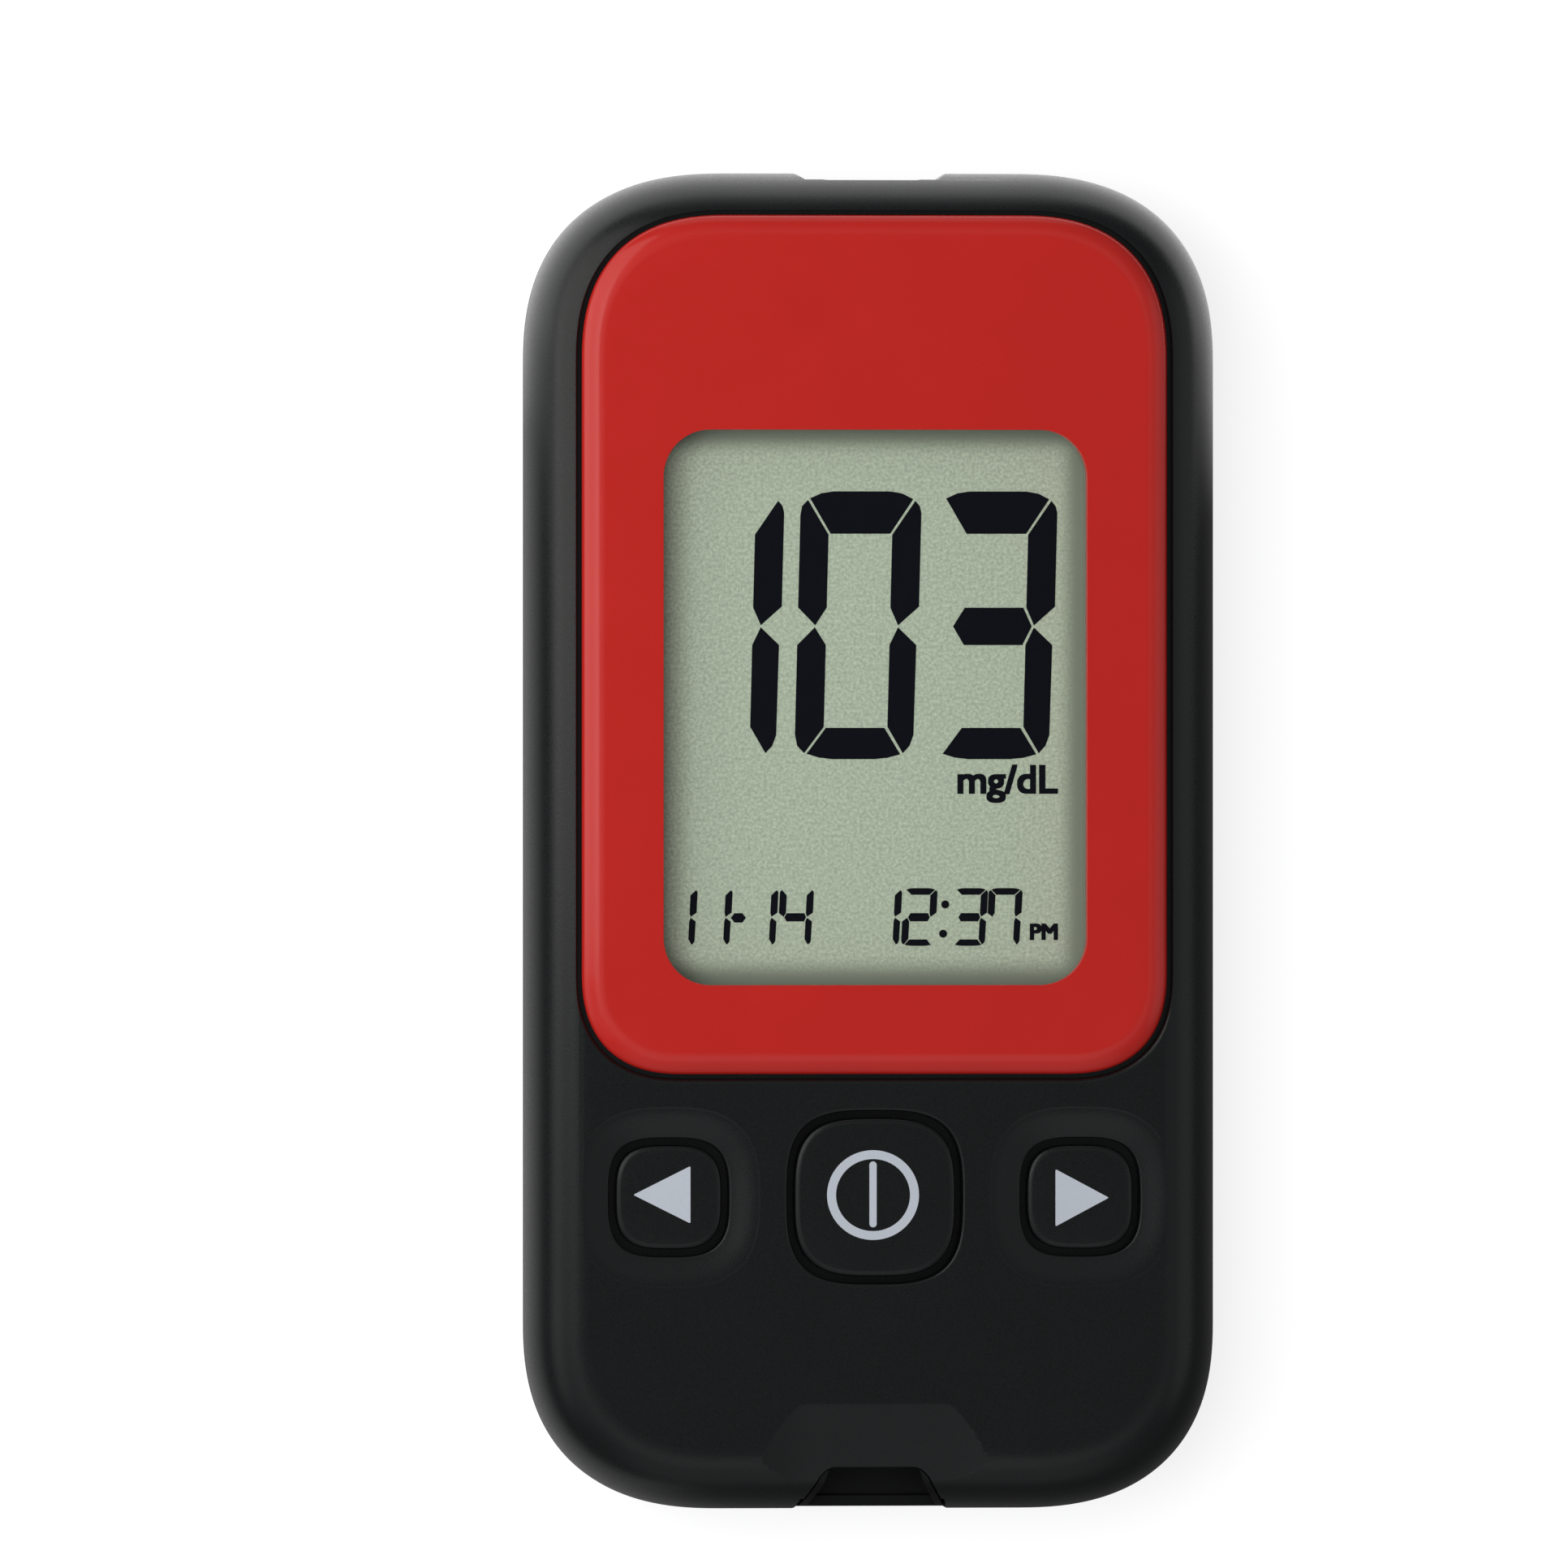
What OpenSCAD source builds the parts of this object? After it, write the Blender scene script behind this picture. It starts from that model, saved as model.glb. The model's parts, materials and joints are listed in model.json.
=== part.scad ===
// Blood glucose meter, lying on its back: +X to the right, +Y to the data port end, +Z out of the display.
// The origin is the middle of the flat back. All lengths are in millimetres.

/* [Case] */
// Overall width
case_w = 51.8; // [50:0.1:60]
// Overall length
case_l = 100.1; // [99:0.1:120]
// Thickness from the flat back to the top of the red panel
case_t = 16; // [15.6:0.1:20]
// Height of the seam between the two case halves
seam_z = 8; // [7.6:0.1:8.2]
// Wall thickness of both case halves
wall = 1.8; // [1.5:0.1:2]
// Thickness of the front plate that carries the keys
plate_t = 2.2; // [2:0.1:2.6]
// Width of a corner curve at the data port end
top_corner_w = 15.2; // [12:0.1:18]
// Length of a corner curve at the data port end
top_corner_l = 14.4; // [12:0.1:18]
// Width of a corner curve at the strip end
low_corner_w = 14.7; // [12:0.1:18]
// Length of a corner curve at the strip end
low_corner_l = 14.1; // [12:0.1:18]
// Squareness of the corner curves: 2 is an ellipse, more is squarer
corner_power = 2.45; // [2:0.05:3]
// Width of the rolled edge round the front
front_roll_w = 4.6; // [3.6:0.1:5]
// Width of the rolled edge round the back
back_roll_w = 4.2; // [3:0.1:5]
// Squareness of both rolled edges
roll_power = 2.3; // [2:0.05:2.8]
// Height of the lip that lines the two halves up
lip_h = 0.9; // [0.6:0.1:1]
// Thickness of that lip
lip_t = 0.8; // [0.6:0.1:1]

/* [Red panel and display] */
// How far the red panel stands above the front plate
panel_proud = 0.6; // [0.3:0.1:1]
// Thickness of the red panel
panel_t = 1.6; // [1.3:0.1:2]
// From the red panel's lower edge to the strip end of the case
key_zone = 32.65; // [31:0.05:36]
// Width of the black rim beside the red panel
side_rim = 4; // [3.6:0.1:5]
// Width of the black rim above the red panel
top_rim = 3.3; // [2.8:0.1:5]
// Width and length of the panel's upper corner curves
panel_top_corner = 11; // [8:0.1:13]
// Width and length of the panel's lower corner curves
panel_low_corner = 7.7; // [5:0.1:10]
// Width of the rounded edge of the red panel
panel_edge_w = 1.7; // [1:0.1:2]
// Height of the rounded edge of the red panel
panel_edge_h = 0.8; // [0.5:0.1:1]
// Gap of the groove round the red panel
panel_groove = 0.35; // [0.3:0.05:0.6]
// Radius of the black rim's edge along the groove
rim_round = 0.4; // [0.2:0.05:0.9]
// Width of the display window
window_w = 31.65; // [29:0.05:33]
// From the window to the red panel's lower edge
window_sill = 6.65; // [6:0.05:9]
// Corner radius of the display window
window_r = 3.5; // [2:0.1:5]
// From the red panel's upper edge to the window
window_drop = 16.05; // [15.5:0.05:17]
// Width of the lens flange under the red panel
lens_flange = 1.4; // [1:0.1:1.8]
// Thickness of the lens flange
lens_flange_t = 1; // [0.8:0.1:1.1]
// How far the display glass reaches past the window on each side
glass_margin = 2.3; // [2.1:0.1:2.6]
// Thickness of the display glass
glass_t = 1.8; // [1.4:0.1:2]
// Thickness of the foam dust gasket
gasket_t = 0.45; // [0.3:0.05:0.6]

/* [Keys] */
// From the red panel's lower edge to the middle of the key row
key_drop = 9.2; // [8.8:0.1:10]
// From the side of the case to the middle of a side key
side_key_inset = 10.5; // [10:0.1:11.5]
// Width of a side key
side_key_w = 7.9; // [7:0.1:8.2]
// Length of a side key
side_key_l = 7.75; // [7:0.05:8.2]
// Width of the middle key
power_key_w = 12; // [11:0.1:12.6]
// Length of the middle key
power_key_l = 11.8; // [11:0.1:12.6]
// Squareness of the key outlines
key_power = 3.2; // [2.6:0.1:5]
// Squareness of the dish outlines
dish_power = 2.8; // [2.4:0.1:4]
// Gap round a key in its opening
key_gap = 0.6; // [0.4:0.05:0.8]
// How far the middle key stands above the front plate
power_key_proud = 0.15; // [0:0.05:0.4]
// How far a side key lies below the front plate
side_key_sunk = 0.3; // [0:0.05:0.5]
// Width of the dish round a side key
dish_w = 13.6; // [12.4:0.1:14]
// Length of the dish round a side key
dish_l = 13.5; // [12.4:0.1:14]
// Depth of that dish
dish_depth = 0.9; // [0.4:0.05:1]
// How far a key travels when pressed
key_travel = 0.7; // [0.4:0.05:0.8]
// Thickness of a key's retaining flange
key_flange_t = 0.9; // [0.7:0.1:1]
// How far the flange reaches past the key opening
key_flange_w = 0.6; // [0.4:0.05:0.7]
// Length of the silicone key mat
mat_l = 14; // [12:0.5:15]
// How far the key mat reaches past the middle of a side key
mat_margin = 5.5; // [4.5:0.1:6]

/* [Strip port] */
// Width of the mouth along its upper edge
mouth_top_w = 7.4; // [7:0.1:8.4]
// Width of the mouth along its lower edge
mouth_low_w = 11.1; // [10:0.1:12]
// Depth of the mouth from the end of the case to its back wall
mouth_depth = 3.05; // [2.8:0.05:3.4]
// Radius of the mouth's back corners
mouth_r = 1; // [0.8:0.1:1.8]
// Width of the sill along the mouth's front
sill_w = 0.75; // [0.5:0.05:1]
// Wall of the port insert
insert_wall = 0.5; // [0.4:0.05:0.7]
// Distance from the end of the case to the start of the thumb ramp
ramp_l = 7.85; // [6:0.05:9]
// Width of the ramp's flat floor, between its curved sides
ramp_w = 10.8; // [9:0.1:12]
// Slope of the ramp's floor, in degrees
ramp_slope = 7; // [5:0.5:8]
// Width of a test strip's way in
strip_slot_w = 6.6; // [5.5:0.1:6.8]
// Height of that way in
strip_slot_h = 1; // [0.8:0.1:1.2]
// Length of the strip connector on the board
connector_l = 10.5; // [9:0.1:11]
// Wall of the strip connector beside and above its slot
connector_wall = 1.6; // [1.2:0.1:2]
// Width of one sprung contact
contact_w = 0.6; // [0.5:0.05:0.7]
// Distance between sprung contacts, centre to centre
contact_pitch = 1.2; // [1.1:0.05:1.3]

/* [Data port] */
// Width of the flat notch at each end of the case
notch_w = 10; // [9:0.1:11]
// Depth of the notch at the data port end
top_notch = 0.55; // [0.3:0.05:0.8]
// Depth of the notch at the strip end
low_notch = 0.2; // [0.1:0.05:0.4]
// Width of the socket's metal shell
socket_w = 7.6; // [7.4:0.1:8]
// Height of the socket's metal shell
socket_h = 2.65; // [2.5:0.05:2.9]
// Length of the socket's metal shell
socket_l = 5.2; // [5:0.1:5.6]

/* [Batteries] */
// Diameter of a coin cell
cell_d = 20; // [19.5:0.1:20.5]
// Thickness of a coin cell
cell_t = 3.2; // [2.5:0.1:3.2]
// Distance between the two cells, centre to centre
cell_pitch = 21; // [20.8:0.1:21.6]
// From the end of the case to the centre of the nearer cell
cell_inset = 15.5; // [15:0.1:16.5]
// Width of a battery contact
finger_w = 2.4; // [2:0.1:3]
// Distance between the two side contacts of a cell
plus_pitch = 8; // [7:0.5:9]
// Width of the battery cover
cover_w = 28; // [27.6:0.1:30]
// Thickness of the battery cover's skin
cover_t = 1; // [0.9:0.05:1.2]
// How far the cover slides before it comes free
cover_travel = 8; // [6:0.5:8]

/* [Circuit board] */
// Thickness of the circuit board
board_t = 1; // [0.8:0.1:1.2]
// Space under the board, above the battery bay
under_board = 1.4; // [1.2:0.1:1.6]
// Width of the main chip
chip_w = 9; // [8:0.5:10]
// Thickness of both chips
chip_h = 1.3; // [1:0.1:1.6]
// Diameter of the buzzer
buzzer_d = 9; // [8:0.5:10]
// Height of the buzzer
buzzer_h = 3; // [2.5:0.1:3.5]
// Diameter of the clock crystal's can
crystal_d = 2; // [1.8:0.1:2.2]
// Length of the clock crystal's can
crystal_l = 6; // [5.5:0.1:6.5]
// From the side of the case to the parts at the sides of the board
side_parts_inset = 12.4; // [11.5:0.1:13]
// From the key row to the chips, along the board
chip_rise = 8; // [7:0.1:9]
// Diameter of a case screw
screw_d = 1.6; // [1.4:0.1:2]
// Diameter of a case screw's head
screw_head_d = 3.2; // [2.8:0.1:3.4]
// Distance between the screws across the case
screw_span_w = 36; // [35:0.5:37]
// Distance from each end of the case to its screws
screw_inset = 9.6; // [9.2:0.1:10]

/* [Hidden] */

$fn = 48;
// Points in each corner curve of the case, and of smaller outlines
corner_steps = 16;
small_steps = 8;
// Rings in each rolled edge
roll_steps = 9;
// Clearance between two moulded pieces that fit together
fit = 0.15;
// Overshoot of a cut past the face it opens
over = 1;

// Heights, from the back upwards
face_z = case_t - panel_proud;
panel_floor = case_t - panel_t;
ceiling_z = face_z - plate_t;
cell_gap = 0.4;
contact_space = 1.2;
bay_roof_t = 1;
cell_z = cover_t + cell_gap;
bay_ceiling = cell_z + cell_t + contact_space;
bay_top = bay_ceiling + bay_roof_t;
board_z = bay_top + under_board;
board_top = board_z + board_t;
glass_top = ceiling_z - gasket_t - 0.05;
glass_z = glass_top - glass_t;

// Places along and across the case
case_end = case_l / 2;
panel_end = case_end - top_rim;
panel_low = key_zone - case_end;
panel_w = case_w - 2 * side_rim;
window_l = panel_end - window_drop - panel_low - window_sill;
window_y = panel_end - window_drop - window_l / 2;
key_y = panel_low - key_drop;
key_pitch = case_w / 2 - side_key_inset;
side_parts_x = case_w / 2 - side_parts_inset;
screw_x = screw_span_w / 2;
screw_y = case_end - screw_inset;
board_inset = wall + fit + lip_t + 0.35;

// ------------------------------------------------------------------ outlines

// A quarter of a superellipse about a corner centre, counterclockwise, in the given quadrant
function soft_corner(centre, size, power, quadrant, steps) =
  [for (i = [0:steps])
    let (a = 90 * i / steps,
         near = pow(cos(a), 2 / power),
         far = pow(sin(a), 2 / power),
         u = quadrant % 2 == 0 ? near : far,
         v = quadrant % 2 == 0 ? far : near,
         sx = (quadrant == 0 || quadrant == 3) ? 1 : -1,
         sy = quadrant < 2 ? 1 : -1)
      [centre[0] + sx * u * size[0], centre[1] + sy * v * size[1]]];

// A long outline with soft corners: half width, upper and lower end, upper and lower corner sizes
function soft_outline(half_w, high, low, upper, lower, power, steps) =
  concat(
    soft_corner([half_w - upper[0], high - upper[1]], upper, power, 0, steps),
    soft_corner([-half_w + upper[0], high - upper[1]], upper, power, 1, steps),
    soft_corner([-half_w + lower[0], low + lower[1]], lower, power, 2, steps),
    soft_corner([half_w - lower[0], low + lower[1]], lower, power, 3, steps));

// A closed superellipse about a centre
function squircle(centre, half, power, steps) =
  [for (i = [0:4 * steps - 1])
    let (a = 90 * i / steps,
         c = cos(a),
         s = sin(a))
      [centre[0] + sign(c) * half[0] * pow(abs(c), 2 / power),
       centre[1] + sign(s) * half[1] * pow(abs(s), 2 / power)]];

// The case outline, drawn in by an inset
function case_outline(inset, steps = corner_steps) =
  soft_outline(case_w / 2 - inset, case_end - inset, inset - case_end,
    [top_corner_w - inset, top_corner_l - inset],
    [low_corner_w - inset, low_corner_l - inset], corner_power, steps);

// The red panel's outline, drawn in by an inset or pushed out by a negative one
function panel_outline(inset, steps = corner_steps) =
  soft_outline(panel_w / 2 - inset, panel_end - inset, panel_low + inset,
    [panel_top_corner - inset, panel_top_corner - inset],
    [panel_low_corner - inset, panel_low_corner - inset], corner_power, steps);

// A rectangle with round corners, about a centre
function round_rect(centre, size, r, steps = small_steps) =
  [for (q = [0:3])
    let (sx = (q == 0 || q == 3) ? 1 : -1,
         sy = q < 2 ? 1 : -1)
      for (i = [0:steps])
        [centre[0] + sx * (size[0] / 2 - r) + r * cos(90 * (q + i / steps)),
         centre[1] + sy * (size[1] / 2 - r) + r * sin(90 * (q + i / steps))]];

// ------------------------------------------------------------------ solids from outlines

// A closed solid through rings of [outline, height], all with the same number of points
module loft(rings) {
  n = len(rings[0][0]);
  last = len(rings) - 1;
  points = [for (r = rings) for (p = r[0]) [p[0], p[1], r[1]]];
  sides = [for (k = [0:last - 1]) for (i = [0:n - 1])
    let (j = (i + 1) % n,
         a = k * n,
         b = (k + 1) * n)
      each [[a + i, b + i, b + j], [a + i, b + j, a + j]]];
  base = [for (i = [0:n - 1]) i];
  lid = [for (i = [n - 1:-1:0]) last * n + i];
  polyhedron(points, concat([base, lid], sides));
}

// An upright prism on an outline, from one height to another
module prism(outline, z0, z1) {
  translate([0, 0, z0])
    linear_extrude(z1 - z0)
      polygon(outline);
}

// A block from its lowest to its highest corner
module block(low, high) {
  translate(low)
    cube([for (i = [0:2]) high[i] - low[i]]);
}

// An upright post
module post(x, y, z0, z1, d) {
  translate([x, y, z0])
    cylinder(d = d, h = z1 - z0);
}

// ------------------------------------------------------------------ case

// How far a rolled edge has drawn in, and how far it has risen, at an angle from 0 to 90
function roll_in(a) = 1 - pow(cos(a), 2 / roll_power);
function roll_up(a) = pow(sin(a), 2 / roll_power);

// The whole front half with nothing cut from it
module front_body() {
  loft([for (i = [0:roll_steps])
    let (a = 90 * i / roll_steps)
      [case_outline(front_roll_w * roll_in(a)), seam_z + (face_z - seam_z) * roll_up(a)]]);
}

// The space inside the front half
module front_space() {
  steps = 5;
  loft(concat(
    [[case_outline(wall, small_steps), seam_z - over]],
    [for (i = [0:steps])
      let (a = 90 * i / steps)
        [case_outline(wall + (front_roll_w - wall / 2) * roll_in(a), small_steps),
         seam_z + (ceiling_z - seam_z) * roll_up(a)]]));
}

// The whole rear half with nothing cut from it
module rear_body() {
  loft([for (i = [roll_steps:-1:0])
    let (a = 90 * i / roll_steps)
      [case_outline(back_roll_w * roll_in(a)), seam_z * (1 - roll_up(a))]]);
}

// The space inside the rear half
module rear_space() {
  steps = 5;
  loft(concat(
    [for (i = [steps:-1:0])
      let (a = 90 * i / steps)
        [case_outline(wall + (back_roll_w - wall / 2) * roll_in(a), small_steps),
         seam_z - (seam_z - wall) * roll_up(a)]],
    [[case_outline(wall, small_steps), seam_z + over]]));
}

// The flat notches at both ends, with sloping sides, cut through the whole thickness
module end_notches() {
  slope = 0.7;
  for (end = [[1, top_notch, notch_w], [-1, low_notch, notch_w + 1.3]])
    prism([for (p = [[-1, 1], [1, 1], [1, 0], [-1, 0]])
      [p[0] * (end[2] / 2 + (p[1] == 1 ? 2 * slope : 0)),
       end[0] * (case_end - end[1] + p[1] * 2 * end[1])]], -over, case_t + over);
}

// The opening of a key, with a small flare where it meets the plate
module key_opening(x, size, rim_z, flare) {
  half = size / 2 + [key_gap, key_gap];
  loft([for (r = [[0, ceiling_z - over], [0, rim_z - flare], [flare * 0.3, rim_z - flare * 0.3],
                  [flare + over / 2, rim_z + over / 2]])
    [squircle([x, key_y], half + [r[0], r[0]], key_power, small_steps), r[1]]]);
}

// The shallow dish round a side key, deepest at the key's opening
module key_dish(x) {
  steps = 5;
  loft([for (i = [0:steps])
    let (t = i / steps,
         share = 0.62 + 0.38 * t,
         rise = t * t * (1.6 - 0.6 * t * t))
      [squircle([x, key_y], [dish_w, dish_l] / 2 * (i == steps ? 1.06 : share), dish_power, small_steps),
       face_z - dish_depth + dish_depth * (i == steps ? 1.18 : rise * 0.97)]]);
}

// The thumb ramp that leads to the strip port: a tilted trough whose sides curve up to the face
module thumb_ramp() {
  side_run = 8;
  side_rise = 2.9;
  side_power = 2.1;
  steps = 8;
  right = [for (i = [0:steps]) [ramp_w / 2 + side_run * i / steps, side_rise * pow(i / steps, side_power)]];
  left = [for (i = [steps:-1:0]) [-right[i][0], right[i][1]]];
  lid = [[right[steps][0], 2 * side_rise], [left[0][0], 2 * side_rise]];
  translate([0, ramp_l - case_end, face_z])
    rotate([90 + ramp_slope, 0, 0])
      linear_extrude(ramp_l + over)
        polygon(concat(right, lid, left));
}

// The mouth: wide below, narrow above, with round corners at its back, grown by a margin
mouth_low = board_top + 0.5;
mouth_high = face_z - 0.4;
mouth_slope = (mouth_low_w - mouth_top_w) / 2 / (mouth_high - mouth_low);
function mouth_half(z) = mouth_low_w / 2 - mouth_slope * (z - mouth_low);

module mouth_cut(grow, back) {
  front = -case_end - 4;
  loft([for (z = [mouth_low - grow, face_z + over])
    [round_rect([0, (front + back) / 2], [2 * mouth_half(z) + 2 * grow, back - front], mouth_r + grow), z]]);
}

insert_y0 = -case_end + low_notch + 0.15;
insert_back = -case_end + mouth_depth;
insert_back_t = 0.8;
insert_y1 = insert_back + insert_back_t;
slot_z = mouth_low + 2 * insert_wall;
// Height of the insert's back wall, which stands under the front plate
insert_top = slot_z + strip_slot_h + 1;
port_gap = 0.1;

// The mouth, with a deeper lower part for the insert's back wall, grown by a margin
module mouth_pocket(margin) {
  mouth_cut(margin, insert_back - port_gap + margin);
  intersection() {
    mouth_cut(margin, insert_y1 + 3 * margin);
    block([-mouth_low_w, -case_end - over, 0], [mouth_low_w, insert_y1 + over, insert_top + margin]);
  }
}

// Places of the four case screws
module at_screws() {
  for (x = [-screw_x, screw_x], y = [-screw_y, screw_y])
    translate([x, y, 0])
      children();
}

post_d = screw_head_d + 2.4;
boss_d = screw_d + 3.6;
head_h = 1.2;
head_z = 2.2;
screw_top = board_top + 3;
socket_z = board_top + socket_h / 2;
socket_y1 = case_end - top_notch - 0.3;

// The recess for the red panel, with a rounded upper edge
module panel_recess() {
  steps = 4;
  loft(concat(
    [[panel_outline(-panel_groove), panel_floor]],
    [for (i = [0:steps])
      let (a = 90 * i / steps)
        [panel_outline(-panel_groove - rim_round * (1 - cos(a))), face_z - rim_round * (1 - sin(a))]],
    [[panel_outline(-panel_groove - rim_round), case_t + over]]));
}

// Front half of the case: the rolled edge, the panel's recess, the keys' openings and the strip mouth
module front_case() {
  color("#222527")
    difference() {
      front_body();
      difference() {
        front_space();
        at_screws()
          cylinder(d = boss_d, h = case_t);
      }
      prism(case_outline(-over), seam_z - 2 * over, seam_z);
      at_screws()
        translate([0, 0, seam_z - over])
          cylinder(d = boss_d + 2, h = board_top - seam_z + over);
      at_screws()
        cylinder(d = screw_d + 0.1, h = screw_top + 0.4);
      panel_recess();
      prism(round_rect([0, window_y],
        [window_w + 2 * lens_flange + 2 * fit, window_l + 2 * lens_flange + 2 * fit],
        window_r + lens_flange), ceiling_z - over, case_t);
      for (side = [-1, 1]) {
        key_dish(side * key_pitch);
        key_opening(side * key_pitch, [side_key_w, side_key_l], face_z - dish_depth, 0.2);
      }
      key_opening(0, [power_key_w, power_key_l], face_z, 0.35);
      thumb_ramp();
      mouth_pocket(port_gap);
      end_notches();
      translate([0, socket_y1 - socket_l - 0.3, socket_z])
        rotate([-90, 0, 0])
          linear_extrude(socket_l + wall)
            polygon(round_rect([0, 0], [socket_w + 0.8, socket_h + 0.7], 1));
    }
}

cell_ys = [case_end - cell_inset - cell_pitch, case_end - cell_inset];
// Cross ribs that carry the board, clear of the buzzer below and of the chips above
rib_t = 1.2;
rib_gap = 1.4;
rib_ys = [key_y - buzzer_d - 3.5, key_y + chip_rise + chip_w / 2 + 1 + rib_gap + rib_t / 2];
cover_half = cover_w / 2;
cover_y0 = case_end - cell_inset - cell_pitch - cell_d / 2 - 1.6;
bay_y0 = case_end - cell_inset - cell_pitch - cell_d / 2 - 0.3;
bay_y1 = case_end - cell_inset + cell_d / 2 + 0.3;
bay_half = cell_d / 2 + 0.4;
bay_wall = 1.4;
// Ways for the battery contacts up to the board
finger_way = finger_w + 0.2;
minus_reach = 0.38 * cell_d;
// Cover hooks: legs inside the ledge, feet over it, and keyways that let the feet out
ledge_t = 0.8;
hook_leg_t = 0.8;
hook_reach = 0.9;
hook_l = 5;
ledge_z = cover_t + 0.1;
ledge_x = bay_half + 0.3 + hook_leg_t + 0.2;
hook_ys = [bay_y0 + 4, bay_y0 + 4 + cell_pitch + 1];

// Rear half of the case: the flat back, the battery bay, the screw posts and the lining-up lip
module rear_case() {
  color("#1e2123") {
    difference() {
      union() {
        difference() {
          rear_body();
          difference() {
            rear_space();
            at_screws()
              cylinder(d = post_d, h = board_z);
            block([-ledge_x - hook_reach - bay_wall, bay_y0 - bay_wall, 0],
                  [ledge_x + hook_reach + bay_wall, case_end, bay_top]);
            for (y = rib_ys)
              block([-case_w, y - rib_t / 2, 0], [case_w, y + rib_t / 2, board_z]);
          }
        }
        intersection() {
          at_screws()
            cylinder(d = post_d, h = board_z);
          prism(case_outline(wall / 2), wall, board_z);
        }
        difference() {
          prism(case_outline(wall + fit), seam_z - 2, seam_z + lip_h);
          prism(case_outline(wall + fit + lip_t), seam_z - 3, seam_z + lip_h + over);
        }
      }
      at_screws() {
        translate([0, 0, -over])
          cylinder(d = screw_head_d + 0.4, h = head_z + head_h + over + 0.15);
        cylinder(d = screw_d + 0.4, h = case_t);
      }
      // cover pocket, cell space, hook slots and keyways
      block([-cover_half - fit, cover_y0 - fit, -over], [cover_half + fit, case_end + over, ledge_z]);
      block([-bay_half, bay_y0, -over], [bay_half, bay_y1, bay_ceiling]);
      block([-ledge_x, bay_y0, -over], [ledge_x, bay_y1, ledge_z + ledge_t + 1.2]);
      for (y = hook_ys)
        block([-ledge_x - hook_reach - 0.25, y - 0.3, ledge_z + ledge_t],
              [ledge_x + hook_reach + 0.25, y + hook_l + cover_travel + 0.3, ledge_z + ledge_t + 1.2]);
      for (y = hook_ys)
        block([-ledge_x - hook_reach - 0.2, y + cover_travel - 0.2, -over],
              [ledge_x + hook_reach + 0.2, y + hook_l + cover_travel + 0.2, ledge_z + ledge_t + 0.5]);
      // ways for the battery contacts up to the board
      for (y = [bay_y0, bay_y1], x = [-plus_pitch / 2, plus_pitch / 2])
        block([x - finger_way / 2, y - 0.6, wall], [x + finger_way / 2, y + 0.6, bay_top + over]);
      for (y = cell_ys)
        block([-finger_way / 2, y - minus_reach - 0.6, bay_ceiling - over],
              [finger_way / 2, y - minus_reach + 0.2, bay_top + over]);
      end_notches();
    }
  }
}

// ------------------------------------------------------------------ panel and display

// Red glossy panel: rounded all round, with the display window cut through
module face_panel() {
  steps = 6;
  color("#b82624")
    difference() {
      loft(concat(
        [[panel_outline(0), panel_floor]],
        [for (i = [0:steps])
          let (a = 90 * i / steps)
            [panel_outline(panel_edge_w * (1 - cos(a))), case_t - panel_edge_h * (1 - sin(a))]]));
      prism(round_rect([0, window_y], [window_w, window_l], window_r), panel_floor - over, case_t + over);
    }
}

// Clear lens: it fills the window and is held by a flange under the panel
module display_window() {
  color([0.85, 0.9, 0.88, 0.35]) {
    prism(round_rect([0, window_y], [window_w - 2 * fit, window_l - 2 * fit], window_r - fit),
      panel_floor - lens_flange_t, case_t - 0.1);
    difference() {
      prism(round_rect([0, window_y],
        [window_w + 2 * lens_flange, window_l + 2 * lens_flange], window_r + lens_flange - fit),
        panel_floor - lens_flange_t, panel_floor);
      prism(round_rect([0, window_y], [window_w - 2 * fit, window_l - 2 * fit], window_r - fit),
        0, case_t);
    }
  }
}

glass_w = window_w + 2 * glass_margin;
glass_l = window_l + 2 * glass_margin + 1;

// Foam frame between the front plate and the display glass
module dust_gasket() {
  color("#2a2a2a")
    difference() {
      prism(round_rect([0, window_y], [glass_w, glass_l], 1), glass_top, glass_top + gasket_t);
      prism(round_rect([0, window_y], [window_w + 1.4, window_l + 1.4], window_r),
        glass_top - over, case_t);
    }
}

// Two glass plates of the display, the rear one a little shorter at both contact ledges
module display_glass() {
  color("#a9b8a0") {
    half = glass_t / 2;
    block([-glass_w / 2, window_y - glass_l / 2, glass_z + half],
          [glass_w / 2, window_y + glass_l / 2, glass_top]);
    block([-glass_w / 2, window_y - glass_l / 2 + 2.2, glass_z],
          [glass_w / 2, window_y + glass_l / 2 - 2.2, glass_z + half]);
  }
}

reflector_t = 0.25;
// Reflecting film behind the display glass
module display_reflector() {
  color("#c9cfc2")
    block([-glass_w / 2 + 0.5, window_y - glass_l / 2 + 2.7, glass_z - reflector_t],
          [glass_w / 2 - 0.5, window_y + glass_l / 2 - 2.7, glass_z]);
}

strip_w = 1.7;
connector_ys = [window_y - glass_l / 2 + 1.1, window_y + glass_l / 2 - 1.1];

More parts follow.
